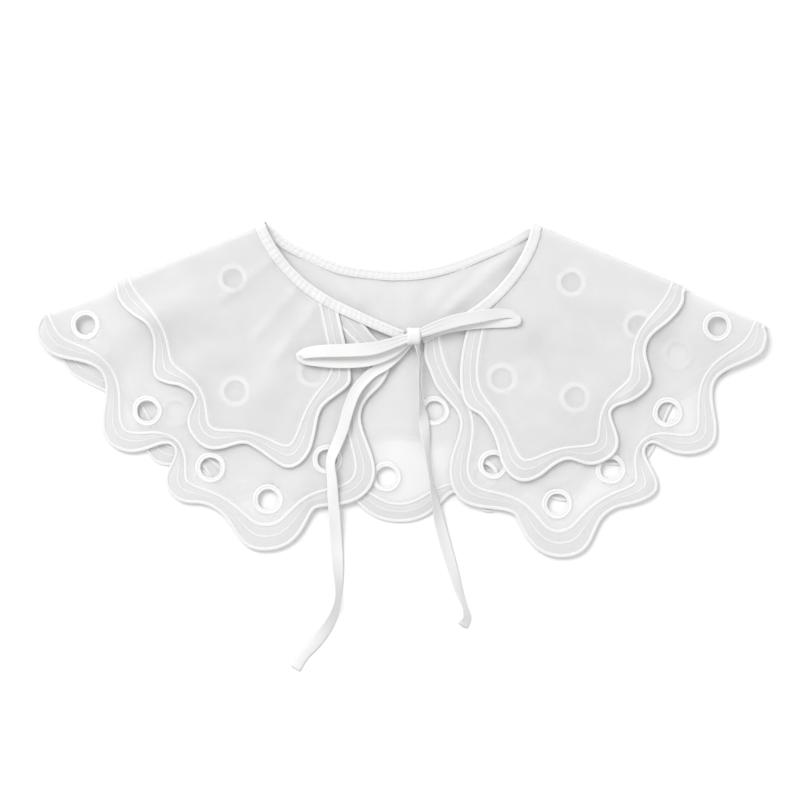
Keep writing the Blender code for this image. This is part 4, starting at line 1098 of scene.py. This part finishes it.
lowerTier, lowerTrims, lowerFlat, lowerArea = buildTier(
    "lower", ("lower_tier_back", "lower_tier_left_front", "lower_tier_right_front"))
eyeletStitches = buildEyelets()
upperTier, upperTrims, upperFlat, upperArea = buildTier(
    "upper", ("upper_tier_back", "upper_tier_left_front", "upper_tier_right_front"))
print("tiers made")

buildBinding("neckBindingBack", "neck_binding_back", 0)
buildBinding("neckBindingLeft", "neck_binding_left_front", -1)
buildBinding("neckBindingRight", "neck_binding_right_front", 1)
print("binding made")

ribbonLooks = {
    "bow_loop_left": ("bowLoopLeft", {"gather": 9.0, "both": True, "phase": 0.4, "cup": 0.25, "wave": 16.0,
                                      "held": "folded", "restsOn": ["upperTier"]}),
    "bow_loop_right": ("bowLoopRight", {"gather": 10.0, "both": True, "phase": 1.3, "cup": 0.25, "wave": 18.0,
                                        "held": "folded", "restsOn": ["upperTier"]}),
    "tie_tail_left": ("tieTailLeft", {"gather": 8.0, "both": False, "phase": 0.0, "cup": 0.45, "wave": 21.0,
                                      "held": "laid", "restsOn": ["upperTier", "lowerTier"]}),
    "tie_tail_right": ("tieTailRight", {"gather": 8.0, "both": False, "phase": 0.9, "cup": 0.45, "wave": 17.0,
                                        "held": "laid", "restsOn": ["lowerTier"]}),
}
for node, (name, look) in ribbonLooks.items():
    buildRibbon(name, node, look)
buildKnot()
print("ribbons made")


stage = {"floor": 3000.0, "paper": 0.93, "room": 0.76, "lampEnergy": 272.0, "lampSize": 3.2,
         "lampPlace": (-3.1, 3.5, 4.9), "lampTurn": (-43, -32, 0), "lens": 109.4,
         "camera": (-0.00203, 0.03066, 1.605)}


# Paper floor, room light, one window lamp and the camera straight overhead
def buildStage():
    half = stage["floor"]
    points = np.array([[-half, -half, 0.0], [half, -half, 0.0], [half, half, 0.0], [-half, half, 0.0]])
    white = bpy.data.materials.new("paper")
    white.use_nodes = True
    feed(white.node_tree, white.node_tree.nodes["Principled BSDF"],
         {"Base Color": (*[stage["paper"]] * 3, 1.0), "Roughness": 0.9, "Specular IOR Level": 0.1})
    floor = makeMesh("floor", points - shift, np.array([[0, 1, 2, 3]]), white)
    world = bpy.data.worlds.new("room")
    world.use_nodes = True
    feed(world.node_tree, world.node_tree.nodes["Background"],
         {"Color": (1.0, 1.0, 1.0, 1.0), "Strength": stage["room"]})
    scene = bpy.context.scene
    scene.world = world
    light = bpy.data.lights.new("window", "AREA")
    light.energy = stage["lampEnergy"]
    light.size = stage["lampSize"]
    light.color = (1.0, 1.0, 0.995)
    lamp = bpy.data.objects.new("window", light)
    lamp.location = stage["lampPlace"]
    lamp.rotation_euler = [math.radians(turn) for turn in stage["lampTurn"]]
    scene.collection.objects.link(lamp)
    view = bpy.data.cameras.new("overhead")
    view.lens = stage["lens"]
    view.sensor_width = 36.0
    view.dof.use_dof = False
    camera = bpy.data.objects.new("overhead", view)
    camera.location = stage["camera"]
    scene.collection.objects.link(camera)
    scene.camera = camera
    scene.view_settings.view_transform = "Standard"


buildStage()
